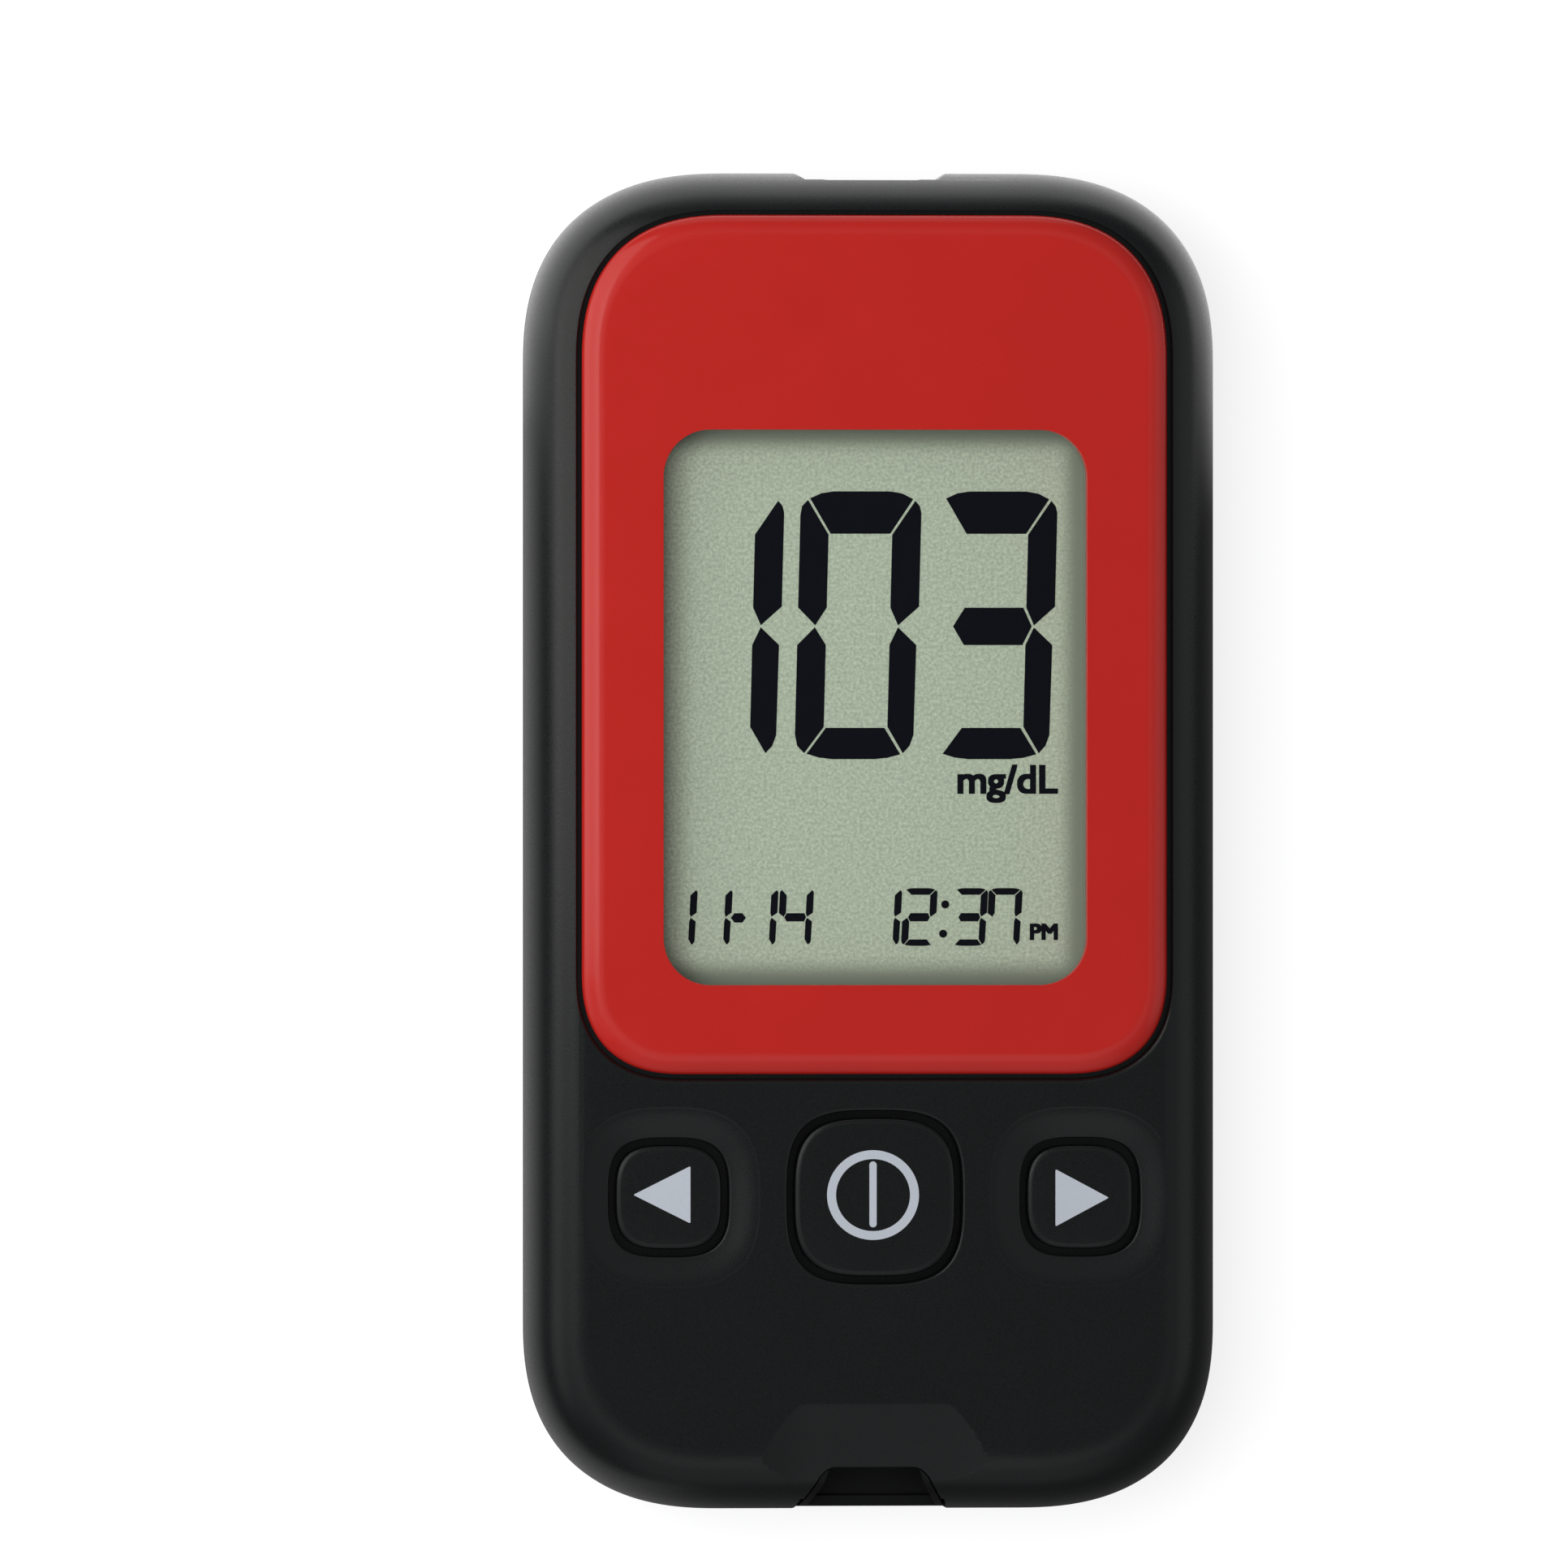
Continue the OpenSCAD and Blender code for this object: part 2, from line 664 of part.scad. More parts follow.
// Frame that carries the display glass on the circuit board
module display_holder() {
  edge = 2.2;
  hollow_w = glass_w / 2 - 4;
  hollow_l = glass_l - 17;
  color("#e4e4df")
    difference() {
      block([-glass_w / 2 - edge, window_y - glass_l / 2 - edge, board_top],
            [glass_w / 2 + edge, window_y + glass_l / 2 + edge, glass_top - 0.4]);
      block([-glass_w / 2 - 0.1, window_y - glass_l / 2 - 0.1, glass_z - reflector_t - 0.05],
            [glass_w / 2 + 0.1, window_y + glass_l / 2 + 0.1, case_t]);
      for (y = connector_ys)
        block([-glass_w / 2 + 1, y - strip_w / 2 - 0.1, board_top - over],
              [glass_w / 2 - 1, y + strip_w / 2 + 0.1, case_t]);
      for (x = [-glass_w / 4, glass_w / 4])
        block([x - hollow_w / 2, window_y - hollow_l / 2, board_top - over],
              [x + hollow_w / 2, window_y + hollow_l / 2, glass_z - reflector_t - 0.6]);
    }
}

// Striped rubber connectors from the board to the display's contact ledges
module rubber_connectors() {
  color("#d98f9a")
    for (y = connector_ys)
      block([-glass_w / 2 + 1.2, y - strip_w / 2, board_top],
            [glass_w / 2 - 1.2, y + strip_w / 2, glass_z + glass_t / 2]);
}

// ------------------------------------------------------------------ circuit board

// Printed circuit board, held by the screws between the posts and the bosses
module circuit_board() {
  color("#1f6a3c")
    difference() {
      prism(case_outline(board_inset, small_steps), board_z, board_top);
      at_screws()
        cylinder(d = screw_d + 0.4, h = case_t);
    }
}

// A flat chip package with legs on two or four sides, hanging under the board
module chip(x, y, w, l, h, legs, sides) {
  block([x - w / 2, y - l / 2, board_z - h], [x + w / 2, y + l / 2, board_z - 0.1]);
  for (i = [0:legs - 1], s = [-1, 1]) {
    along = (i + 0.5) / legs - 0.5;
    block([x + along * (w - 1) - 0.15, y + s * (l / 2 + 0.5) - 0.5, board_z - h / 2],
          [x + along * (w - 1) + 0.15, y + s * (l / 2 + 0.5) + 0.5, board_z]);
    if (sides == 4)
      block([x + s * (w / 2 + 0.5) - 0.5, y + along * (l - 1) - 0.15, board_z - h / 2],
            [x + s * (w / 2 + 0.5) + 0.5, y + along * (l - 1) + 0.15, board_z]);
  }
}

// Microcontroller
module main_chip() {
  color("#26282b")
    chip(0, key_y + chip_rise, chip_w, chip_w, chip_h, 8, 4);
}

// Memory chip for the stored readings
module memory_chip() {
  color("#2c2e31")
    chip(side_parts_x, key_y + chip_rise, chip_w * 0.55, chip_w * 0.45, chip_h, 4, 2);
}

// Clock crystal: a small metal can lying under the board
module quartz_crystal() {
  color("#c9ccd0")
    translate([-side_parts_x, key_y + chip_rise + crystal_l / 2, board_z - crystal_d / 2])
      rotate([90, 0, 0])
        cylinder(d = crystal_d, h = crystal_l);
}

// Small resistors and capacitors in two rows under the board
resistor = [1.6, 0.8, 0.6];
resistor_pitch = 3;
resistor_count = 6;
module board_components() {
  row_x = -(resistor_count + 1) * resistor_pitch / 2;
  color("#b99b72")
    for (i = [0:resistor_count - 1], row = [0, 1])
      translate([row_x + i * resistor_pitch, key_y - (2 + row) * resistor_pitch, board_z - resistor[2]])
        cube(resistor);
}

// Temperature sensor bead beside the strip connector
module temperature_sensor() {
  color("#3d5f9a")
    translate([strip_slot_w / 2 + connector_wall + 3.7, (connector_y0 + connector_y1) / 2, board_top])
      cube(resistor);
}

// Round sounder under the board, with a hole for its sound
module buzzer() {
  hole = buzzer_d * 0.18;
  color("#303236")
    translate([side_parts_x, key_y - buzzer_d / 2 - 1.5, board_z - buzzer_h])
      difference() {
        cylinder(d = buzzer_d, h = buzzer_h);
        translate([0, 0, -over])
          cylinder(d = hole, h = over + hole / 2);
      }
}

// ------------------------------------------------------------------ strip port

connector_y0 = insert_y1 + 0.1;
connector_y1 = connector_y0 + connector_l;

// Moulded insert that lines the mouth, with a sill along its front and the strip's way in at its back
module strip_port_insert() {
  color("#2b2e30")
    difference() {
      intersection() {
        front_body();
        mouth_pocket(0);
        block([-mouth_low_w, insert_y0, 0], [mouth_low_w, insert_y1, case_t]);
      }
      translate([0, 0, -0.1])
        thumb_ramp();
      difference() {
        mouth_cut(-insert_wall, insert_back);
        block([-mouth_low_w, insert_y0 - over, 0], [mouth_low_w, insert_y0 + sill_w, slot_z - 0.1]);
      }
      block([-strip_slot_w / 2 - 0.1, insert_back - over, slot_z - 0.1],
            [strip_slot_w / 2 + 0.1, insert_y1 + over, slot_z + strip_slot_h + 0.1]);
    }
}

// Sprung contacts side by side in the connector
contact_count = 5;
contact_t = 0.25;
roof_t = 1;

// Connector body on the board, with the strip slot and open channels for the contacts
module strip_connector() {
  half = strip_slot_w / 2 + connector_wall;
  top = slot_z + strip_slot_h + roof_t;
  color("#ece8dc")
    difference() {
      block([-half, connector_y0, board_top], [half, connector_y1, top]);
      block([-strip_slot_w / 2, connector_y0 - over, slot_z],
            [strip_slot_w / 2, connector_y1 - connector_wall, slot_z + strip_slot_h]);
      for (i = [0:contact_count - 1])
        translate([(i - (contact_count - 1) / 2) * contact_pitch, 0, 0])
          block([-contact_w / 2 - 0.12, connector_y0 + 2, slot_z + strip_slot_h / 2],
                [contact_w / 2 + 0.12, connector_y1 + over, top + over]);
    }
}

// Sprung contacts: a tail on the board, a back, and an arm that dips into the slot
module strip_contacts() {
  t = contact_t;
  top = slot_z + strip_slot_h + 0.7 * roof_t;
  tip = slot_z + 0.35 * strip_slot_h;
  y0 = connector_y0 + 0.29 * connector_l;
  y1 = connector_y1 + 0.6;
  color("#c9a24a")
    for (i = [0:contact_count - 1])
      translate([(i - (contact_count - 1) / 2) * contact_pitch + contact_w / 2, 0, 0])
        rotate([90, 0, -90])
          linear_extrude(contact_w)
            polygon([[-y1 - 1, board_top], [-y1 - 1, board_top + t], [-y1, board_top + t],
                     [-y1, top], [-y0 - 3.5, top], [-y0 - 1, tip + t], [-y0, tip + 1.6 * t],
                     [-y0, tip + 0.6 * t], [-y0 - 1.1, tip],
                     [-y0 - 3.6, top - t], [-y1 + t, top - t], [-y1 + t, board_top]]);
}

// ------------------------------------------------------------------ data port

// Bent metal shell of the data socket
module socket_shell() {
  t = 0.3;
  color("#b9bcc0")
    difference() {
      translate([0, socket_y1, socket_z])
        rotate([90, 0, 0])
          linear_extrude(socket_l)
            polygon(socket_section(0));
      translate([0, socket_y1 + over, socket_z])
        rotate([90, 0, 0])
          linear_extrude(socket_l + over - t)
            polygon(socket_section(t));
    }
}

// Section of the socket: a flat box with its lower corners cut off
function socket_section(inset) =
  let (w = socket_w / 2 - inset,
       h = socket_h / 2 - inset,
       cut = 0.9)
    [[-w + cut, -h], [w - cut, -h], [w, -h + cut], [w, h], [-w, h], [-w, -h + cut]];

// Plastic tongue inside the data socket
module socket_tongue() {
  color("#1b1c1e")
    block([-socket_w / 2 + 1.8, socket_y1 - socket_l + 0.3, socket_z + 0.05],
          [socket_w / 2 - 1.8, socket_y1 - 0.8, socket_z + 0.65]);
}

// ------------------------------------------------------------------ keys

flange_top = ceiling_z - 0.1;
flange_z = flange_top - key_flange_t;
pill_t = 0.6;
pill_z = board_top + key_travel + 0.05;
stem_d = 4;
mat_t = 0.8;

// A hard key: a rounded cap, a flange that holds it under the plate, and a stem that stands on the mat
module key_cap(x, size, top_z) {
  edge = 0.7;
  steps = 4;
  wall_t = 1.1;
  flange = size + 2 * [key_gap + key_flange_w, key_gap + key_flange_w];
  difference() {
    union() {
      loft(concat(
        [[squircle([x, key_y], size / 2, key_power, small_steps), flange_top - 0.2]],
        [for (i = [0:steps])
          let (a = 90 * i / steps)
            [squircle([x, key_y], size / 2 - edge * [1, 1] * (1 - cos(a)), key_power, small_steps),
             top_z - 0.6 * edge * (1 - sin(a))]],
        [[squircle([x, key_y], size / 4, key_power, small_steps), top_z + 0.06]]));
      prism(squircle([x, key_y], flange / 2, key_power, small_steps), flange_z, flange_top);
    }
    prism(squircle([x, key_y], size / 2 - [wall_t, wall_t], key_power, small_steps),
      flange_z - over, top_z - wall_t - 0.4);
  }
  post(x, key_y, flange_z - 0.2, top_z - wall_t, stem_d - 0.6);
}

module left_key() {
  color("#1c1f20")
    key_cap(-key_pitch, [side_key_w, side_key_l], face_z - side_key_sunk);
}

module right_key() {
  color("#1c1f20")
    key_cap(key_pitch, [side_key_w, side_key_l], face_z - side_key_sunk);
}

module power_key() {
  color("#1c1f20")
    key_cap(0, [power_key_w, power_key_l], face_z + power_key_proud);
}

// Silicone key mat: a sheet on the board with a sprung bell under each key
module key_mat() {
  boss_top = flange_z - 0.2;
  r = stem_d / 2;
  skirt = mat_t * 0.625;
  spread = stem_d * 0.375;
  shoulder = mat_t + (boss_top - board_top - mat_t) * 0.55;
  color("#4a4d50") {
    difference() {
      prism(round_rect([0, key_y], [2 * (key_pitch + mat_margin), mat_l], 2), board_top, board_top + mat_t);
      for (x = [-key_pitch, 0, key_pitch])
        post(x, key_y, board_top - over, case_t, 2 * (r + spread));
    }
    for (x = [-key_pitch, 0, key_pitch])
      translate([x, key_y, board_top])
        rotate_extrude()
          polygon([[0, pill_z + pill_t - board_top], [r - skirt, pill_z + pill_t - board_top],
                   [r - skirt / 2, shoulder - skirt], [r + spread - skirt, 0], [r + spread, 0],
                   [r + spread, mat_t], [r, shoulder],
                   [r, boss_top - board_top], [0, boss_top - board_top]]);
  }
}

// Conductive pill under a key's bell, which closes the contact on the board
module pill(x) {
  color("#101113")
    post(x, key_y, pill_z, pill_z + pill_t, 2.4);
}

module left_pill() {
  pill(-key_pitch);
}

module power_pill() {
  pill(0);
}

module right_pill() {
  pill(key_pitch);
}

// ------------------------------------------------------------------ batteries

// Two coin cells, minus cap towards the board
module coin_cells() {
  color("#c8cacd")
    for (y = cell_ys)
      translate([0, y, cell_z])
        rotate_extrude()
          polygon([[0, 0], [cell_d / 2 - 0.3, 0], [cell_d / 2, 0.3], [cell_d / 2, cell_t - 0.5],
                   [cell_d / 2 - 0.4, cell_t - 0.25], [cell_d / 2 - 1.4, cell_t - 0.25],
                   [cell_d / 2 - 1.8, cell_t], [0, cell_t]]);
}

// Side contacts that press on the rim of each cell and run up to the board
module plus_contacts() {
  t = 0.3;
  color("#d0c089")
    for (x = [-plus_pitch / 2, plus_pitch / 2])
      for (e = [[bay_y0, 1, cell_ys[0]], [bay_y1, -1, cell_ys[1]]])
        block([x - finger_w / 2, min(e[0] - e[1] * 0.4, e[0] - e[1] * (0.4 - t)), cell_z + 0.6],
              [x + finger_w / 2, max(e[0] - e[1] * 0.4, e[0] - e[1] * (0.4 - t)), board_z]);
}

// Sprung fingers under the bay's roof that press on each cell's cap, with a tail up to the board
module minus_contacts() {
  t = 0.3;
  y = minus_reach;
  color("#d0c089")
    for (cy = cell_ys)
      translate([-finger_w / 2, cy, 0])
        rotate([90, 0, 90])
          linear_extrude(finger_w)
            polygon([[-y, board_z], [-y - t, board_z], [-y - t, bay_ceiling - 0.35],
                     [-1, cell_z + cell_t + 0.1], [1.2, cell_z + cell_t + 0.5],
                     [1.2, cell_z + cell_t + 0.5 + t], [-1, cell_z + cell_t + 0.1 + t],
                     [-y, bay_ceiling - 0.1]]);
}

// Battery cover: its skin is cut from the back of the case, and its hooks hold under the ledges
module battery_cover() {
  grips = 6;
  color("#1e2123") {
    difference() {
      intersection() {
        rear_body();
        block([-cover_half, cover_y0, -over], [cover_half, case_end, cover_t]);
      }
      for (i = [0:grips - 1])
        block([-7, case_end - 7 - 1.3 * i, -over], [7, case_end - 6.4 - 1.3 * i, 0.3]);
      end_notches();
    }
    for (y = hook_ys, s = [-1, 1]) {
      block([s * (ledge_x - 0.6) - hook_leg_t / 2, y, cover_t - 0.1],
            [s * (ledge_x - 0.6) + hook_leg_t / 2, y + hook_l, ledge_z + ledge_t + 0.95]);
      block([s > 0 ? ledge_x - 0.6 : -ledge_x - hook_reach + 0.2, y, ledge_z + ledge_t + 0.15],
            [s > 0 ? ledge_x + hook_reach - 0.2 : -ledge_x + 0.6, y + hook_l, ledge_z + ledge_t + 0.95]);
    }
  }
}

// Four screws that hold the two case halves and the board together
module case_screws() {
  color("#b4b8bd")
    at_screws()
      difference() {
        union() {
          translate([0, 0, head_z])
            cylinder(d = screw_head_d, h = head_h);
          translate([0, 0, head_z + head_h / 2])
            cylinder(d = screw_d, h = screw_top - head_z - head_h / 2);
        }
        for (a = [0, 90])
          rotate([0, 0, a])
            block([-1, -0.2, 0], [1, 0.2, head_z + 0.6]);
      }
}

front_case();
rear_case();
face_panel();
display_window();
dust_gasket();
display_glass();
display_reflector();
display_holder();
rubber_connectors();
circuit_board();
main_chip();
memory_chip();
quartz_crystal();
board_components();
temperature_sensor();
buzzer();
strip_port_insert();
strip_connector();
strip_contacts();
socket_shell();
socket_tongue();
key_mat();
left_key();
power_key();
right_key();
left_pill();
power_pill();
right_pill();
coin_cells();
plus_contacts();
minus_contacts();
battery_cover();
case_screws();
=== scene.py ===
import json
import math
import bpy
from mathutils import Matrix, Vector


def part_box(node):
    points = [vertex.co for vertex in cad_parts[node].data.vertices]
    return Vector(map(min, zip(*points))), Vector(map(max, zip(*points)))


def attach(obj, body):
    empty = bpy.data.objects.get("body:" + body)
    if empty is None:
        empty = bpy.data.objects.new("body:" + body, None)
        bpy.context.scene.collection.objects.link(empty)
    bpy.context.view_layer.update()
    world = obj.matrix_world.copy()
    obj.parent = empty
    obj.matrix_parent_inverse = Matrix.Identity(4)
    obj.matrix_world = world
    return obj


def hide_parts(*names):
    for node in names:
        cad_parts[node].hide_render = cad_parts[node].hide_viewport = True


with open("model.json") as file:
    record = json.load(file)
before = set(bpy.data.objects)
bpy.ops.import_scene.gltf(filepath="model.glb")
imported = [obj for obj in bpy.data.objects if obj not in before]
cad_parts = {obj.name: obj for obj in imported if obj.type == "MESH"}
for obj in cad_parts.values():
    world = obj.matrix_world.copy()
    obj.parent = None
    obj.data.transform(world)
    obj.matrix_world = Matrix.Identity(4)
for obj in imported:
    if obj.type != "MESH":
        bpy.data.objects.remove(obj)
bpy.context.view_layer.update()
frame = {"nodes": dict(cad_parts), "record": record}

import types

import bmesh
import bpy
from bpy.props import FloatProperty, FloatVectorProperty, PointerProperty
from mathutils import Matrix, Vector

bl_info = {
    "name": "Blood glucose meter",
    "version": (1, 0, 0),
    "blender": (4, 5, 0),
    "location": "View3D > Sidebar > Meter",
    "description": "Dresses the packed meter: shells, glossy panel, display, keys, port and inside",
    "category": "Object",
}

MM = 0.001


def box_mm(*nodes):
    """Lowest and highest corner of some CAD nodes together, in millimetres."""
    corners = [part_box(n) for n in nodes]
    low = [min(c[0][k] for c in corners) / MM for k in range(3)]
    high = [max(c[1][k] for c in corners) / MM for k in range(3)]
    return Vector(low), Vector(high)


CASE_HIGH = box_mm("front_case", "rear_case")[1]
PANEL_LOW, PANEL_HIGH = box_mm("face_panel")
GLASS_HIGH = box_mm("display_glass")[1]
LENS_LOW, LENS_HIGH = box_mm("display_window")
SIDE_KEY_LOW, SIDE_KEY_HIGH = box_mm("right_key")
POWER_KEY_HIGH = box_mm("power_key")[1]
COVER_LOW, COVER_HIGH = box_mm("battery_cover")
BOARD_LOW = box_mm("circuit_board")[0]
PORT_LOW, PORT_HIGH = box_mm("strip_port_insert")
SHELL_LOW, SHELL_HIGH = box_mm("socket_shell")
SCREW_LOW, SCREW_HIGH = box_mm("case_screws")

CASE_END = CASE_HIGH.y
FACE_Z = CASE_HIGH.z
TOP_Z = PANEL_HIGH.z
SEAM_Z = box_mm("front_case")[0].z
WINDOW_Y = (LENS_LOW.y + LENS_HIGH.y) / 2
KEY_Y = (SIDE_KEY_LOW.y + SIDE_KEY_HIGH.y) / 2
KEY_X = (SIDE_KEY_LOW.x + SIDE_KEY_HIGH.x) / 2
# Squareness of curves: 2 is an ellipse, more is squarer
CORNER_POWER = 2.45
ROLL_POWER = 2.3
KEY_POWER = 3.2
DISH_POWER = 2.8
CORNER_STEPS = 40
# Edges flatter than this are shaded as one surface
CREASE = math.radians(24)
# Points closer than this are one point
WELD = 2e-4
# Screw heads, and the wells that take them
HEAD_R = 1.6
WELL_D = 3.6
# How far a cutter stands past what it cuts
PAST = 1
# Steps along a curved wall or rim
ARC_STEPS = 8


# ------------------------------------------------------------------ settings

def length(name, millimetres, description):
    """A length property, given in millimetres and held in metres."""
    return FloatProperty(name=name, description=description, default=millimetres * MM,
                         min=0.0, precision=5, unit="LENGTH")


def srgb(code, alpha=1.0):
    """Linear colour of an sRGB hex value."""
    parts = [int(code[i:i + 2], 16) / 255 for i in (1, 3, 5)]
    line = [c / 12.92 if c <= 0.04045 else ((c + 0.055) / 1.055) ** 2.4 for c in parts]
    return (*line, alpha)


def tint(name, code, description):
    """A colour property from an sRGB hex value."""
    return FloatVectorProperty(name=name, description=description, subtype="COLOR", size=4,
                               default=srgb(code), min=0.0, max=1.0)


class MeterSizes(bpy.types.PropertyGroup):
    """Sizes of the meter's visible forms."""

    top_corner_w: length("Upper corner width", 15.2, "Width of a corner curve at the socket end")
    top_corner_l: length("Upper corner length", 14.4, "Length of a corner curve at the socket end")
    low_corner_w: length("Lower corner width", 14.7, "Width of a corner curve at the strip end")
    low_corner_l: length("Lower corner length", 14.1, "Length of a corner curve at the strip end")
    front_roll: length("Front roll", 4.6, "Width of the rolled edge round the front")
    back_roll: length("Back roll", 4.2, "Width of the rolled edge round the back")
    wall: length("Wall", 1.8, "Wall thickness of both halves")
    plate: length("Front plate", 2.2, "Thickness of the plate that carries the keys")
    seam: length("Seam groove", 0.16, "Depth of the groove along the seam of the halves")
    groove: length("Panel groove", 0.35, "Gap round the red panel")
    rim_round: length("Rim edge radius", 0.4, "Radius of the black rim's edge along the groove")
    panel_top_corner: length("Panel upper corner", 11.0, "Size of the panel's upper corner curves")
    panel_low_corner: length("Panel lower corner", 7.7, "Size of the panel's lower corner curves")
    panel_edge_w: length("Panel edge width", 1.7, "Width of the panel's rounded edge")
    panel_edge_h: length("Panel edge height", 0.8, "Height of the panel's rounded edge")
    window_w: length("Window width", 31.65, "Width of the display window")
    window_l: length("Window length", 41.45, "Length of the display window")
    window_r: length("Window corner", 3.5, "Corner radius of the display window")
    side_key_w: length("Side key width", 7.9, "Width of an arrow key")
    side_key_l: length("Side key length", 7.75, "Length of an arrow key")
    power_key_w: length("Middle key width", 12.0, "Width of the middle key")
    power_key_l: length("Middle key length", 11.8, "Length of the middle key")
    key_gap: length("Key gap", 0.56, "Gap round a key in its opening")
    dish_w: length("Dish width", 13.6, "Width of the dish round an arrow key")
    dish_l: length("Dish length", 13.5, "Length of the dish round an arrow key")
    dish_depth: length("Dish depth", 0.42, "Depth of the dish at the key's opening")
    mouth_top_w: length("Mouth upper width", 7.7, "Width of the strip mouth along its upper edge")
    mouth_low_w: length("Mouth lower width", 11.1, "Width of the strip mouth along its lower edge")
    mouth_depth: length("Mouth depth", 3.3, "From the end of the case to the mouth's back wall")
    sill_w: length("Mouth sill", 0.75, "Width of the sill along the mouth's front")
    ramp_l: length("Scoop length", 8.1, "From the end of the case to the start of the scoop")
    ramp_w: length("Scoop floor", 10.3, "Width of the scoop's flat floor, between its curved sides")
    notch_w: length("Notch width", 10.0, "Width of the flat notch at the socket end")
    notch_depth: length("Notch depth", 0.55, "Depth of the flat notch at the socket end")


class MeterColours(bpy.types.PropertyGroup):
    """Colours of the meter's visible surfaces."""

    body: tint("Case", "#0C0F10", "Black moulded case")
    panel: tint("Panel", "#C32620", "Glossy face panel")
    display: tint("Display", "#C1CFB7", "Display film")
    ink: tint("Segments", "#0C0E17", "Display segments that are switched on")
    icon: tint("Key marks", "#C2C8D1", "Printed marks on the keys")


def sizes(context):
    """The meter's sizes in millimetres."""
    group = context.scene.meter_sizes
    return types.SimpleNamespace(**{k: getattr(group, k) / MM for k in MeterSizes.__annotations__})


# ------------------------------------------------------------------ outlines, in millimetres

def soft_corner(centre, size, power, quadrant, steps):
    """A quarter of a superellipse about a corner centre, counterclockwise."""
    points = []
    for i in range(steps + 1):
        angle = math.pi / 2 * i / steps
        near, far = math.cos(angle), math.sin(angle)
        near, far = max(near, 0.0) ** (2 / power), max(far, 0.0) ** (2 / power)
        u, v = (near, far) if quadrant % 2 == 0 else (far, near)
        sx = 1 if quadrant in (0, 3) else -1
        sy = 1 if quadrant < 2 else -1
        points.append((centre[0] + sx * u * size[0], centre[1] + sy * v * size[1]))
    return points


def soft_outline(half_w, high, low, upper, lower, power, steps=CORNER_STEPS):
    """A long outline with soft corners."""
    return (soft_corner((half_w - upper[0], high - upper[1]), upper, power, 0, steps)
            + soft_corner((-half_w + upper[0], high - upper[1]), upper, power, 1, steps)
            + soft_corner((-half_w + lower[0], low + lower[1]), lower, power, 2, steps)
            + soft_corner((half_w - lower[0], low + lower[1]), lower, power, 3, steps))


def round_rect(centre, size, radius, steps=CORNER_STEPS):
    """A rectangle with round corners."""
    corner = (radius, radius)
    points = soft_outline(size[0] / 2, size[1] / 2, -size[1] / 2, corner, corner, 2, steps)
    return [(x + centre[0], y + centre[1]) for x, y in points]


def squircle(centre, half, power, steps=24):
    """A closed superellipse about a centre; power 2 gives an ellipse."""
    points = []
    for i in range(4 * steps):
        angle = math.pi / 2 * i / steps
        c, s = math.cos(angle), math.sin(angle)
        points.append((centre[0] + math.copysign(half[0] * abs(c) ** (2 / power), c),
                       centre[1] + math.copysign(half[1] * abs(s) ** (2 / power), s)))
    return points


def case_outline(s, inset):
    """The case's outline, drawn in by an inset."""
    return soft_outline(CASE_HIGH.x - inset, CASE_END - inset, inset - CASE_END,
                        (s.top_corner_w - inset, s.top_corner_l - inset),
                        (s.low_corner_w - inset, s.low_corner_l - inset), CORNER_POWER)


def panel_outline(s, inset):
    """The red panel's outline, drawn in by an inset or pushed out by a negative one."""
    upper, lower = s.panel_top_corner - inset, s.panel_low_corner - inset
    return soft_outline(PANEL_HIGH.x - inset, PANEL_HIGH.y - inset, PANEL_LOW.y + inset,
                        (upper, upper), (lower, lower), CORNER_POWER)


def roll(t):
    """How far a rolled edge has drawn in and risen, at a share from 0 to 1."""
    angle = math.pi / 2 * t
    return 1 - max(math.cos(angle), 0.0) ** (2 / ROLL_POWER), math.sin(angle) ** (2 / ROLL_POWER)


# ------------------------------------------------------------------ mesh building

def ring_edges(bm, row):
    """The edges that join a closed row of vertices."""
    return [bm.edges.get((row[i - 1], row[i])) for i in range(len(row))]


def vertices(made):
    """The vertices among what an operator made."""
    return [v for v in made if isinstance(v, bmesh.types.BMVert)]


def extend(bm, row, points):
    """Extrudes a closed row of vertices to new points and returns the new row."""
    new = set(vertices(bmesh.ops.extrude_edge_only(bm, edges=ring_edges(bm, row))["geom"]))
    following = [next(e.other_vert(v) for e in v.link_edges if e.other_vert(v) in new) for v in row]
    for vert, point in zip(following, points):
        vert.co = point
    return following


def loft(rings, tube=False):
    """A closed shape through rings of (outline, height); a tube joins its last ring to its first."""
    bm = bmesh.new()
    rows = [[(p[0], p[1], z) for p in outline] for outline, z in rings]
    first = list(bmesh.ops.create_circle(bm, segments=len(rows[0]), radius=1.0)["verts"])
    for vert, point in zip(first, rows[0]):
        vert.co = point
    row = first
    for points in rows[1:]:
        row = extend(bm, row, points)
    if tube:
        bmesh.ops.bridge_loops(bm, edges=ring_edges(bm, row) + ring_edges(bm, first))
    else:
        for end in (first, row):
            bmesh.ops.contextual_create(bm, geom=ring_edges(bm, end))
    bmesh.ops.recalc_face_normals(bm, faces=bm.faces)
    return bm


def prism(outline, low, high):
    """An upright prism on an outline, between two heights."""
    return loft([(outline, low), (outline, high)])


def block(low, high, bevel=0.0):
    """A block between two corners, with its edges rounded by a bevel."""
    bm = bmesh.new()
    bmesh.ops.create_cube(bm, size=1.0)
    size = Vector(high) - Vector(low)
    bmesh.ops.scale(bm, vec=size, verts=bm.verts)
    bmesh.ops.translate(bm, vec=(Vector(low) + Vector(high)) / 2, verts=bm.verts)
    if bevel:
        bmesh.ops.bevel(bm, geom=list(bm.edges), offset=bevel, affect="EDGES", segments=3,
                        profile=0.5, material=-1)
    return bm


